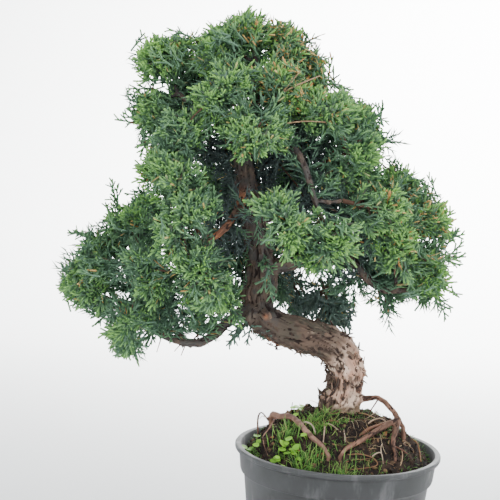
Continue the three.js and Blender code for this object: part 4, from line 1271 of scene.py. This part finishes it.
def set_flakes(seed):
    draw = np.random.default_rng(seed)
    points, outs = points_of(wood.data), normals_of(wood.data)
    run, radii, number = wood_measured[:, 2], wood_measured[:, 3], wood_measured[:, 4]
    trunk = (number == 0) & (radii > FLAKY_RADIUS) & (points[:, 2] > FLAKES_ABOVE)
    under = np.clip(-outs[:, 2], 0, 1) * (run > 58) * (run < 122)
    left_foot = np.clip(-outs[:, 0], 0, 1) * (run < 62)
    crest = np.clip(outs[:, 0], 0, 1) * (run > 40) * (run < 84)
    weights = trunk * (0.35 + 4 * under + 3.2 * left_foot + 1.5 * crest)
    chosen = draw.choice(len(points), FLAKES, replace=False, p=weights / weights.sum())
    normals = unit(outs[chosen])
    ahead = wood_measured[chosen, 5:8] * np.where(draw.random(FLAKES) < 0.5, -1, 1)[:, None]
    ahead = unit(ahead + draw.normal(0, 0.25, ahead.shape))
    ahead = unit(ahead - normals * np.sum(ahead * normals, axis=1, keepdims=True))
    lift = draw.uniform(0.02, 0.4, FLAKES)[:, None]
    z = ahead * np.cos(lift) + normals * np.sin(lift)
    y = normals * np.cos(lift) - ahead * np.sin(lift)
    sizes = draw.uniform(0.4, 1.05, FLAKES) * np.clip(radii[chosen] / 9, 0.5, 1.1)
    turns = np.stack([np.cross(y, z), y, z], axis=2) * sizes[:, None, None]
    pale = np.clip((74 - run[chosen]) / 16, 0, 1)
    # Flakes down the foot's left side, away from the light, are larger, and their darker tone is painted
    # shade.
    shaded_left_edge = np.clip(left_foot[chosen] - 0.6, 0, 0.4) / 0.4
    turns *= (1 + 0.7 * shaded_left_edge)[:, None, None]
    tones = draw.random(FLAKES) * 0.55 + 0.4 * pale * draw.random(FLAKES)
    stored = {"tone": np.clip(tones * (1 - 0.7 * shaded_left_edge), 0, 1)}
    return heap("bark_flakes", [(bark_flake(), turns, points[chosen] - normals * 0.25 * MM, stored)])


def toned_finish(name, grain, stops, speck_top, speckle, roughness, depth, strength, shine):
    """A finish whose colour follows each copy's stored tone, with specks of another one."""
    finish = Finish(name)
    specks = finish.noise(*grain)
    colour = finish.ramp(finish.attribute("tone"), stops)
    low, high, share = speckle
    colour = finish.blend(specks.step(low, high) * share, colour, speck_top)
    return finish.surface(colour, roughness, specks, depth, strength, shine)


flakes = set_flakes(51)
shade(flakes, smooth=False)
flake_tones = [(0.0, (54, 45, 42)), (0.4, (96, 80, 70)), (0.7, (150, 124, 106)), (1.0, (206, 180, 160))]
flake_finish = toned_finish(
    "bark_flakes", (600, 3), flake_tones, (84, 68, 60), (0.45, 0.65, 0.5), 0.9, 0.3 * MM, 1.0, 0.15
)
hand_over(flakes, "bark_flakes", flake_finish, "bark")

# %% [markdown]
# ## Thin strands placed one by one
# Some thin things have a place of their own in the photograph: dead twigs under the low limb, bare
# pale branches before the apex, a dark rootlet that loops out of the soil. Each is a round strand
# through a few given places, drawn as a curve and turned into a mesh.

# %% Draw the strands
DEAD_TWIGS = [
    (0.35, 0.4, [(-48, -8, 172), (-44, -12, 168), (-41, -13, 166.5), (-37, -13, 164.5)]),
    (0.3, 0.4, [(-105, -6, 164), (-106, -8, 160), (-107, -8, 156)]),
    (0.3, 0.4, [(-92, -6, 163), (-95, -8, 160), (-97, -8, 157)]),
    (0.35, 0.45, [(-90, -6, 163), (-91.5, -8, 160), (-93, -8, 155)]),
    (0.6, 0.45, [(-45, 8, 326), (-36, 9, 333), (-30, 7, 338), (-22, 4, 341)]),
    (0.7, 0.55, [(-58, -6, 300), (-50, -24, 302), (-45, -31, 307), (-34, -30, 313), (-25, -26, 317)]),
    (0.68, 0.5, [(-60, -10, 284), (-50, -31, 288), (-41, -37, 291), (-28, -35, 293), (-15, -31, 292)]),
    (0.65, 0.4, [(-45, -31, 307), (-40, -34, 313), (-36, -36, 319)]),
]
ROOTLETS = [
    (0.1, 0.6, [(-46, 6, 105), (-47.5, 5, 116), (-46.3, 4, 122), (-43.6, 4, 121), (-41, 4, 117)]),
    (0.85, 0.7, [(-24, -10, 120), (-20.6, -17.5, 123), (-17.2, -19.4, 122.5), (-15.3, -23, 120.5),
                 (-14.3, -24, 116)]),
    (0.8, 0.6, [(-9, -16, 120), (-9.4, -18.8, 122.6), (-10, -27.5, 119.8), (-10.5, -31, 115)]),
    (0.8, 0.42, [(-9, -15, 121.5), (-7, -17.3, 123), (-3.6, -24.9, 122.3), (1, -26, 119)]),
    (0.85, 0.42, [(1, -24, 121), (1.4, -27.1, 120), (2, -30, 115)]),
    (0.35, 1.2, [(10, -22, 117), (13.4, -20.7, 120.5), (17.8, -19.2, 122.7), (23.7, -14.1, 123.4),
                 (31, -10, 125.5)]),
    (0.75, 0.5, [(14, -15, 122), (16.4, -14, 124.3), (19.9, -10.5, 125.4), (24, -7.8, 125.2), (30, 3, 119)]),
    (0.82, 0.42, [(15, -36, 108), (17.1, -35.2, 110.6), (21.1, -32.6, 112.2), (22.8, -32.7, 110.6),
                  (23.3, -35, 105)]),
    (0.82, 0.38, [(22.1, -32, 111.5), (21.3, -30, 114.6), (23, -26, 115)]),
    (0.42, 0.4, [(-2, -37, 109), (6.2, -38.4, 112), (13.9, -37.8, 111.2), (19.1, -37.1, 108.6),
                 (20.2, -39, 106), (13.9, -42, 105), (4, -43.5, 104)]),
    (0.4, 0.4, [(1, -41, 107), (9.3, -39.7, 110.6), (16.3, -37, 107.5)]),
    (0.45, 0.6, [(40, 1, 112), (44.6, -0.4, 112), (46.8, -4.8, 108.3), (46.8, -14.7, 103)]),
    (0.2, 0.5, [(21.6, 0.5, 134.5), (20.2, 2, 131), (19.4, 3, 129.5), (17, 5, 124)]),
    (0.15, 0.4, [(-28.3, 12, 117), (-27.6, 12, 123), (-27.2, 12, 127)]),
    (0.4, 0.55, [(-16, -30, 113), (-8, -32, 116), (0, -33, 114)]),
    (0.3, 0.5, [(26, -20, 114), (33, -24, 113), (38, -22, 109)]),
    (0.7, 0.4, [(34, -18, 112), (36, -26, 109), (33, -33, 105)]),
    (0.65, 0.4, [(10, 2, 125), (14, -4, 127), (20, -3, 124)]),
]
STRAND_TAPER = 0.4


def bare_strand(tone, radius, route):
    curve = bpy.data.curves.new("strand", "CURVE")
    curve.dimensions = "3D"
    curve.bevel_depth = radius * MM
    curve.bevel_resolution = 1
    curve.resolution_u = 5
    curve.use_fill_caps = True
    spline = curve.splines.new("NURBS")
    spline.points.add(len(route) - 1)
    for i, (point, place) in enumerate(zip(spline.points, route)):
        point.co = (*(c * MM for c in place), 1)
        point.radius = 1 - STRAND_TAPER * i / (len(route) - 1)
    spline.order_u = 3
    spline.use_endpoint_u = True
    take(linked("strand", curve))
    bpy.ops.object.convert(target="MESH")
    strand = bpy.context.object
    set_numbers(strand.data, "tone", tone)
    return strand


strand_tones = [
    (0.0, (44, 36, 34)), (0.3, (112, 78, 66)), (0.6, (162, 126, 84)), (0.8, (182, 158, 134)),
    (1.0, (218, 208, 192)),
]
strand_finish = toned_finish(
    "bare_strands", (420, 3), strand_tones, (84, 62, 54), (0.45, 0.65, 0.45), 0.8, 0.25 * MM, 0.7, 0.2
)
for name, slot, rows in (("dead_twigs", "bark", DEAD_TWIGS), ("surface_rootlets", "soil", ROOTLETS)):
    strands_piece = joined([bare_strand(*row) for row in rows])
    shade(strands_piece)
    hand_over(strands_piece, name, strand_finish, slot)

# %% [markdown]
# ## The loose root
# A reddish root with two rootlets lies over the left of the soil. It is thin and nearly smooth, so
# it gets a finer skin than the trunk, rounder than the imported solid, and a redder finish.

# %% Round the loose root
ROOT_WAVE = 4
ROOT_RELIEF = 0.3
root = packed_copy("loose_root")
modify(root, "REMESH", mode="VOXEL", voxel_size=0.5 * MM, adaptivity=0)
modify(root, "SMOOTH", factor=0.6, iterations=3)
put_points(root.data, points_of(root.data) - normals_of(root.data) * 0.15 * MM)

root_points = points_of(root.data)
relief = np.array([noise.noise(Vector(place)) for place in root_points / MM / ROOT_WAVE])
moves = relief * ROOT_RELIEF * MM
put_points(root.data, root_points + normals_of(root.data) * moves[:, None])
set_numbers(root.data, "ridge", 0.5 + relief)

root_skin = Finish("reddish_root")
root_noise = root_skin.noise(260, 4)
root_patches = root_skin.noise(60, 2)
root_colour = root_skin.layered(
    root_skin.blend(root_patches.step(0.4, 0.65), (130, 94, 78), (160, 122, 102)),
    (root_noise.step(0.5, 0.66) * 0.7, (98, 70, 62)),
    # Painted shade: darker in the low parts of the relief.
    ((1 - root_skin.attribute("ridge").step(0.15, 0.4)) * 0.7, (86, 62, 54)),
)
root_finish = root_skin.surface(root_colour, 0.75, root_noise, 0.3 * MM, 0.6)
hand_over(root, "skin_of_loose_root", root_finish, "bark", "loose_root")

# %% [markdown]
# ## The soil
# The soil is a dark crumbly mound that nearly fills the pot. Its outline is spun round the axis
# like a pot on a wheel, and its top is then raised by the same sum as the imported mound, a dome with
# low lumps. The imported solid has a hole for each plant, but here the plants are new pieces, so the
# top stays whole. Clods of all sizes are scattered over it afterwards, because it is the loose
# crumbs and the shadows between them that look like soil.

# %% Spin an outline round the axis
def spun(outline, steps):
    """A closed skin made by turning an outline of (radius, height) points, in mm, about +Z."""
    deselect()
    bpy.ops.mesh.primitive_plane_add(size=MM)
    turned = bpy.context.object
    edit(turned, "VERT")
    bpy.ops.mesh.delete(type="VERT")
    skin = bmesh.from_edit_mesh(turned.data)
    row = [skin.verts.new((radius * MM, 0, height * MM)) for radius, height in outline]
    for start, end in zip(row, row[1:]):
        skin.edges.new((start, end))
    bmesh.update_edit_mesh(turned.data)
    bpy.ops.mesh.select_all(action="SELECT")
    bpy.ops.mesh.spin(steps=steps, angle=2 * math.pi, center=(0, 0, 0), axis=(0, 0, 1))
    bpy.ops.mesh.select_all(action="SELECT")
    bpy.ops.mesh.remove_doubles(threshold=WELD)
    bpy.ops.mesh.normals_make_consistent(inside=False)
    close()
    return turned


SOIL_RADIUS = 54.2
SOIL_EDGE_Z = 98
SOIL_RISE = 27
SOIL_DOME_POWER = 2.8
SOIL_RINGS = 48
DOME_BACK = 6
LUMPS = 1.2
CRUMBLE = 2.0
soil_outline = [(0, 2.4), (41.2, 2.4), (51.6, 87.5), (SOIL_RADIUS, 91), (SOIL_RADIUS, SOIL_EDGE_Z)]
soil_outline += [(SOIL_RADIUS * (1 - (i + 1) / SOIL_RINGS), SOIL_EDGE_Z) for i in range(SOIL_RINGS)]
soil = spun(soil_outline, 150)
print("faces of the spun soil:", len(soil.data.polygons))


# %% Raise and roughen the top of the mound
def mound_height(x, y):
    """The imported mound's height, in mm: a dome with its middle behind the axis, and low lumps."""
    outward = min(1, max(math.hypot(x, y - DOME_BACK), math.hypot(x, y)) / SOIL_RADIUS)
    lumps = math.sin(0.31 * x + 1.3) * math.cos(0.27 * y) + math.sin(0.19 * x - 0.35 * y)
    return SOIL_EDGE_Z + SOIL_RISE * (1 - outward**SOIL_DOME_POWER) + LUMPS * lumps * (1 - outward**4)


soil_points = points_of(soil.data)
for point in soil_points:
    x, y, z = point / MM
    if z > SOIL_EDGE_Z - 1:
        crumbled = noise.fractal(Vector((x, y, 0)) * 0.23, 0.6, 2.1, 5)
        point[2] = (mound_height(x, y) + CRUMBLE * crumbled) * MM
put_points(soil.data, soil_points)
shade(soil)
POT_INSIDE = 55.2
SCATTER_RADIUS = POT_INSIDE - 2.5
LOWEST_GROUND = 95 * MM
ABOVE_GROUND = 0.2
print("top of the soil in mm:", round(float(soil_points[:, 2].max() / MM), 1))

# %% The finish of the soil
earth = Finish("dark_soil")
coarse = earth.noise(180, 4)
fine = earth.noise(900, 3)
lit = earth.blend(coarse.step(0.42, 0.7), (34, 29, 27), (70, 57, 48))
lit = earth.blend(fine.step(0.64, 0.74) * 0.7, lit, (120, 98, 76))
earth_finish = earth.surface(lit, 0.95, coarse + 0.4 * fine, 1.2 * MM, 0.9, 0.15)
hand_over(soil, "soil_mound", earth_finish, "soil", "soil")

# %% Find the ground under a place
ground = BVHTree.FromPolygons(
    [vert.co.copy() for vert in soil.data.vertices], [face.vertices[:] for face in soil.data.polygons]
)


def ground_at(x, y):
    """The soil's height and slope under a place given in mm, or None beside the soil."""
    hit, normal, _, _ = ground.ray_cast(Vector((x * MM, y * MM, ABOVE_GROUND)), Vector((0, 0, -1)))
    return (np.array(hit), np.array(normal)) if hit and hit.z > LOWEST_GROUND else None


def scatter(draw, wanted, keep, radius=SCATTER_RADIUS):
    """Seeded places on the soil where a test of x and y in mm holds, with the slope at each."""
    places, slopes = [], []
    while len(places) < wanted:
        x, y = draw.uniform(-radius, radius, 2)
        if math.hypot(x, y) > radius or draw.random() > keep(x, y):
            continue
        found = ground_at(x, y)
        if found:
            places.append(found[0])
            slopes.append(found[1])
    return np.array(places), np.array(slopes)


print("soil height under the front in mm:", round(float(ground_at(0, -45)[0][2] / MM), 1))

# %% Model one clod and scatter the crumbs
def clod():
    deselect()
    bpy.ops.mesh.primitive_ico_sphere_add(subdivisions=1, radius=MM)
    lump = bpy.context.object
    points = points_of(lump.data)
    rough = np.array([noise.noise(Vector(p / MM * 1.3 + 4)) for p in points])
    put_points(lump.data, points * (1 + 0.75 * rough)[:, None] * [1.15, 0.95, 0.75])
    set_numbers(lump.data, "along", 0)
    return model_of(lump)


def scaled_turns(draw, slopes, sizes, spread):
    """Random turns about the slope, with one size for each copy."""
    return random_turns(slopes + draw.normal(0, spread, slopes.shape), sizes, draw)


CRUMBS = 2100
clods_draw = np.random.default_rng(11)
crumb_places, crumb_slopes = scatter(clods_draw, CRUMBS, lambda x, y: 1)
crumb_sizes = clods_draw.lognormal(-0.5, 0.5, len(crumb_places)).clip(0.25, 1.9)
crumb_tones = clods_draw.random(len(crumb_places))
crumb_turns = scaled_turns(clods_draw, crumb_slopes, crumb_sizes, 0.6)
crumbs = heap("soil_crumbs", [(clod(), crumb_turns, crumb_places, {"tone": crumb_tones})])
shade(crumbs, smooth=False)

crumb_colours = [
    (0.0, (28, 24, 22)), (0.66, (50, 40, 35)), (0.92, (92, 74, 57)), (0.98, (122, 96, 72)),
    (1.0, (170, 114, 72)),
]
crumb_finish = toned_finish(
    "soil_crumbs", (700, 3), crumb_colours, (96, 80, 66), (0.5, 0.7, 0.4), 0.95, 0.4 * MM, 1.0, 0.15
)
hand_over(crumbs, "soil_crumbs", crumb_finish, "soil")

# %% [markdown]
# ## Dry rootlets and straw
# Fine pale rootlets and bits of straw lie over the soil, mostly at the front right. Four are
# modelled as thin tubes, each bent by a wave along its length, and copies of them are laid down.

# %% Model a rootlet and lay its copies down
ROOTLET_LENGTH = 14 * MM
ROOTLET_STEPS = 9
ROOTLET_RADIUS = 0.19 * MM
ROOTLETS_PER_MODEL = 19
ROOTLETS_WITHIN = 43


def rootlet(seed):
    sizes = {"vertices": 4, "radius": ROOTLET_RADIUS, "depth": ROOTLET_LENGTH}
    strand = new_piece(bpy.ops.mesh.primitive_cylinder_add, location=(0, 0, 0), **sizes)
    for i in range(1, ROOTLET_STEPS):
        cut_across(strand, (i / ROOTLET_STEPS - 0.5) * ROOTLET_LENGTH)
    points = points_of(strand.data)
    share = points[:, 2] / ROOTLET_LENGTH + 0.5
    draw = np.random.default_rng(seed)
    swing, lift = draw.uniform(1.5, 4.5, 2) * MM
    phase, turns = draw.uniform(0, 6), draw.uniform(3, 6)
    thin = 1 - 0.6 * share
    bent = np.stack([points[:, 2], points[:, 0] * thin, points[:, 1] * thin], axis=1)
    bent[:, 1] += swing * np.sin(phase + turns * share)
    bent[:, 2] += 0.6 * lift * np.sin(math.pi * share)
    put_points(strand.data, bent)
    edit(strand)
    bpy.ops.mesh.normals_make_consistent(inside=False)
    close()
    set_numbers(strand.data, "along", share)
    return model_of(strand)


def mostly_front_right(x, y):
    return 1.0 if x > 2 and y < 0 else 0.16


straw_draw = np.random.default_rng(21)
straw_groups = []
for model in [rootlet(seed) for seed in range(4)]:
    places, slopes = scatter(straw_draw, ROOTLETS_PER_MODEL, mostly_front_right, ROOTLETS_WITHIN)
    sizes = straw_draw.uniform(0.4, 1.1, len(places))
    turns = scaled_turns(straw_draw, slopes, sizes, 0.25)
    tones = straw_draw.random(len(places))
    straw_groups.append((model, turns, places + [0, 0, 0.5 * MM], {"tone": tones}))
straw = heap("dry_rootlets", straw_groups)
straw_colours = [(0.0, (96, 74, 56)), (0.35, (140, 104, 74)), (0.7, (170, 142, 100)), (1.0, (196, 180, 148))]
straw_finish = toned_finish(
    "dry_rootlets", (500, 2), straw_colours, (92, 66, 48), (0.5, 0.7, 0.4), 0.8, 0.2 * MM, 0.5, 0.5
)
hand_over(straw, "dry_rootlets", straw_finish, "soil")

# %% [markdown]
# ## Grass and moss
# Soft bright grass grows beside the trunk and at the front left, with moss between. A blade is a
# three-sided cone that is cut across, narrowed and curved, and tufts of copies stand where the
# packed tufts stand. Moss is the same blade, very short and in dense patches.

# %% Model a blade of grass
BLADE_LENGTH = 12 * MM


def grass_blade(curl, radius=0.25 * MM, cuts=3):
    sizes = {"vertices": 3, "radius1": radius, "radius2": 0, "depth": BLADE_LENGTH}
    blade = new_piece(bpy.ops.mesh.primitive_cone_add, location=(0, 0, BLADE_LENGTH / 2), **sizes)
    for i in range(1, cuts + 1):
        cut_across(blade, i / (cuts + 1) * BLADE_LENGTH)
    points = points_of(blade.data)
    share = points[:, 2] / BLADE_LENGTH
    swell = 1 + 0.9 * np.sin(math.pi * share**0.7)
    full = np.where(share < 1, swell / np.maximum(1 - share, 0.1) ** 0.7, 1)
    angle = curl * share
    reach = BLADE_LENGTH * share
    ahead = points[:, 0] * full + reach * np.sin(angle) * 0.9
    put_points(blade.data, np.stack([ahead, points[:, 1] * full * 0.55, reach * np.cos(angle)], axis=1))
    in_triangles(blade)
    set_numbers(blade.data, "along", share)
    return model_of(blade)


blades = [grass_blade(curl) for curl in (0.15, 0.5, 0.9, 1.25)]
print("triangles of one blade:", len(blades[0]["corners"]))

# %% Grow the tufts of grass
BLADE_LIMIT = 49 * MM
GRASS = {
    "grass_by_trunk": (270, 11, 0.6), "grass_front": (80, 8, 0.75), "grass_front_left": (150, 9, 0.8),
    "grass_left": (62, 9, 0.85), "grass_right": (30, 6, 0.6),
}


def middle_of(node):
    low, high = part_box(node)
    return (low + high) / 2 / MM


def ground_near(middle, spread, draw):
    """A seeded step from a plant's middle, in mm, and the ground there."""
    step = draw.normal(0, 0.5, 2) * spread
    return step, ground_at(middle.x + step[0], middle.y + step[1])


def grass_tuft(node, blades_wanted, radius, length, seed):
    draw = np.random.default_rng(seed)
    middle = middle_of(node)
    places, leans, sizes = [], [], []
    while len(places) < blades_wanted:
        step, found = ground_near(middle, radius, draw)
        if not found or math.hypot(*found[0][:2]) > BLADE_LIMIT:
            continue
        places.append(found[0] - [0, 0, 0.6 * MM])
        inward = 1 - np.clip(math.hypot(*found[0][:2]) / BLADE_LIMIT, 0.6, 1) * 0.9
        lean = np.array([step[0] / radius * inward, step[1] / radius * inward, 1])
        leans.append(lean + draw.normal(0, 0.55, 3) * inward)
        sizes.append(length * draw.uniform(0.5, 1.15))
    places, leans, sizes = np.array(places), np.array(leans), np.array(sizes)
    kinds = draw.integers(0, len(blades), len(places))
    turns = random_turns(leans, sizes, draw)
    groups = []
    for kind, model in enumerate(blades):
        own = kinds == kind
        groups.append((model, turns[own], places[own], {"tone": draw.random(own.sum())}))
    return heap(node + "_blades", groups)


green_blade = Finish("grass")
blade_along = green_blade.attribute("along")
blade_tones = [
    (0.0, (56, 92, 46)), (0.4, (82, 136, 56)), (0.8, (126, 178, 78)), (0.92, (160, 182, 96)),
    (1.0, (180, 166, 104)),
]
blade_colour = green_blade.layered(
    green_blade.ramp(green_blade.attribute("tone"), blade_tones),
    (blade_along.step(0.3, 1) * 0.5, (140, 190, 82)),
    ((1 - blade_along.step(0, 0.35)) * 0.7, (58, 70, 36)),
)
blade_noise = green_blade.noise(600, 2)
blade_finish = green_blade.surface(blade_colour, 0.5 + 0.2 * blade_noise, blade_noise, 0.1 * MM, 0.4)
for seed, (node, row) in enumerate(GRASS.items()):
    tuft = grass_tuft(node, *row, 300 + seed)
    hand_over(tuft, tuft.name, blade_finish, "ground_plants", node)

# %% Lay the moss
def mossy(x, y):
    """Where moss grows: beside the trunk's foot and over the front left."""
    left = 0.9 if x < 4 and y < -8 else 0.25
    patch = noise.noise(Vector((x * 0.09, y * 0.09, 5)))
    return max(0, left * (0.4 + 1.6 * patch))


MOSS_BLADES = 2200
moss_draw = np.random.default_rng(31)
moss_places, moss_slopes = scatter(moss_draw, MOSS_BLADES, mossy)
moss_sizes = moss_draw.uniform(0.14, 0.34, len(moss_places))
moss_turns = scaled_turns(moss_draw, moss_slopes, moss_sizes, 0.45)
moss_tones = {"tone": moss_draw.random(len(moss_places)) * 0.6}
moss = heap("moss", [(grass_blade(0.3, 0.4 * MM, 1), moss_turns, moss_places, moss_tones)])
hand_over(moss, "moss", blade_finish, "ground_plants")

# %% [markdown]
# ## Seedlings with round leaves
# A few seedlings with round yellow-green leaves stand among the moss. A leaf is a disc that is
# inset, dished and given a thickness, with a small notch, and each stands on a stalk of its own.

# %% Model a round leaf on its stalk
LEAF_RADIUS = 2.6 * MM
STALK_LENGTH = 6 * MM


def round_leaf():
    middle = (2.4 * MM, 0, 0)
    sizes = {"vertices": 14, "radius": LEAF_RADIUS, "fill_type": "NGON"}
    blade = new_piece(bpy.ops.mesh.primitive_circle_add, location=middle, **sizes)
    edit(blade)
    bpy.ops.mesh.inset(thickness=1.2 * MM)
    bpy.ops.transform.translate(value=(0, 0, -0.5 * MM))
    close()
    edit(blade, "VERT", lambda vert: vert.co.x > 4.9 * MM)
    bpy.ops.transform.translate(value=(-0.7 * MM, 0, 0))
    close()
    modify(blade, "SOLIDIFY", thickness=0.25 * MM, offset=0)
    modify(blade, "SUBSURF", levels=1, render_levels=1)
    sizes = {"vertices": 5, "radius1": 0.3 * MM, "radius2": 0.22 * MM, "depth": STALK_LENGTH}
    stalk = new_piece(bpy.ops.mesh.primitive_cone_add, location=(0, 0, -STALK_LENGTH / 2), **sizes)
    edit(stalk, "VERT", lambda vert: vert.co.z > -MM)
    bpy.ops.transform.translate(value=(0.4 * MM, 0, -0.1 * MM))
    close()
    blade = joined([blade, stalk])
    set_numbers(blade.data, "along", np.clip(points_of(blade.data)[:, 2] / STALK_LENGTH + 1, 0, 1))
    return model_of(blade)


leaf_model = round_leaf()
print("triangles of one leaf:", len(leaf_model["corners"]))

# %% Grow the seedlings
LEAVES = {
    "seedling_left": (9, 5.5, 0.85), "seedling_front": (12, 7.5, 0.95), "seedling_by_root": (6, 4.5, 0.75),
    "seedling_middle": (8, 6, 0.9),
}
LEAF_HEIGHT = 4.6 * MM


def seedling(node, leaves, spread, size, seed):
    draw = np.random.default_rng(seed)
    middle = middle_of(node)
    places, sizes = [], []
    while len(places) < leaves:
        _, found = ground_near(middle, spread, draw)
        if found:
            sizes.append(size * draw.uniform(0.6, 1.1))
            places.append(found[0] + [0, 0, LEAF_HEIGHT * sizes[-1]])
    leans = np.array([[0, -0.25, 1]] * leaves) + draw.normal(0, 0.25, (leaves, 3))
    turns = random_turns(leans, np.array(sizes), draw)
    return heap(node + "_leaves", [(leaf_model, turns, np.array(places), {"tone": draw.random(leaves)})])


juicy = Finish("seedling_leaves")
juicy_noise = juicy.noise(350, 2)
juicy_colour = juicy.layered(
    juicy.blend(juicy.attribute("tone"), (112, 166, 46), (150, 204, 66)),
    ((1 - juicy.attribute("along").step(0.5, 0.95)) * 0.6, (84, 104, 50)),
)
juicy_finish = juicy.surface(juicy_colour, 0.42 + 0.15 * juicy_noise, juicy_noise, 0.15 * MM, 0.4)
for seed, (node, row) in enumerate(LEAVES.items()):
    plant = seedling(node, *row, 500 + seed)
    hand_over(plant, plant.name, juicy_finish, "ground_plants", node)

# %% [markdown]
# ## The pot
# A thin black-grey nursery pot, pressed from plastic: a tapered wall, a step out to a broad collar
# and a rolled lip. Its wall and floor are one outline spun round the axis, as on a potter's wheel.
# A Boolean then cuts the drain holes through the floor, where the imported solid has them.

# %% Spin the wall of the pot
POT_OUTLINE = [
    (0.0, 0.0), (40.0, 0.0), (42.2, 0.3), (43.0, 1.4), (53.5, 87.6), (54.4, 89.2), (55.5, 89.8), (55.9, 91.0),
    (57.0, 101.0), (58.0, 101.9), (59.1, 102.2), (59.5, 103.0), (59.5, 104.2), (59.0, 104.9), (58.0, 105.0),
    (56.4, 104.8), (55.8, 104.0), (54.5, 90.5), (52.1, 87.6), (41.6, 2.4), (40.6, 2.0), (0.0, 2.0),
]
pot = spun(POT_OUTLINE, 96)
print("faces of the spun pot:", len(pot.data.polygons))

# %% Cut the drain holes
DRAINS = 6
DRAIN_RING = 30 * MM
DRAIN_RADIUS = 4 * MM
DRAIN_DEPTH = 8 * MM

for i in [*range(1, DRAINS), 0]:
    sizes = {"vertices": 24, "radius": DRAIN_RADIUS, "depth": DRAIN_DEPTH}
    drain = new_piece(bpy.ops.mesh.primitive_cylinder_add, location=(DRAIN_RING, 0, 0), **sizes)
    drain.data.transform(Matrix.Rotation(2 * math.pi * i / DRAINS, 4, "Z"))
    modify(pot, "BOOLEAN", operation="DIFFERENCE", solver="EXACT", object=drain)
    bpy.data.objects.remove(drain)
take(pot)
bpy.ops.object.shade_smooth_by_angle(angle=math.radians(35))

plastic = Finish("worn_plastic")
dust = plastic.noise(30, 5)
scuffs = plastic.noise(130, 5, plastic.stretched(plastic.place(), 0.3))
height = plastic.node("ShaderNodeSeparateXYZ", {}, {"Vector": plastic.place()}, 2)
# Painted highlight: the top of the rolled lip is a little lighter.
painted_lip_highlight = height.step(0.1015, 0.1045)
shell = plastic.layered(
    plastic.blend(dust.step(0.38, 0.68), (53, 53, 53), (69, 69, 70)),
    (scuffs.step(0.5, 0.72) * 0.45, (110, 110, 110)),
    (painted_lip_highlight * 0.08, (114, 115, 116)),
)
plastic_finish = plastic.surface(shell, 0.5 + 0.25 * dust, scuffs + 0.5 * dust, 0.25 * MM, 0.35, 0.4)
hand_over(pot, "pot_wall", plastic_finish, "pot", "pot")

# %% [markdown]
# ## Sizes
# Both boxes, the imported tree's and the dressed tree's, are put side by side in one table, and the
# dressed one is printed. The dressed tree has to keep the imported tree's size.

# %% Put both boxes side by side and count the triangles
DRESSED_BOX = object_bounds()
sizes = {"cad": [list(corner) for corner in CAD_BOX], "visual": [list(corner) for corner in DRESSED_BOX]}
print("dressed box in mm:", [[round(c / MM, 1) for c in corner] for corner in DRESSED_BOX])
print("triangles in all:", sum(count(piece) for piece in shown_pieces()))
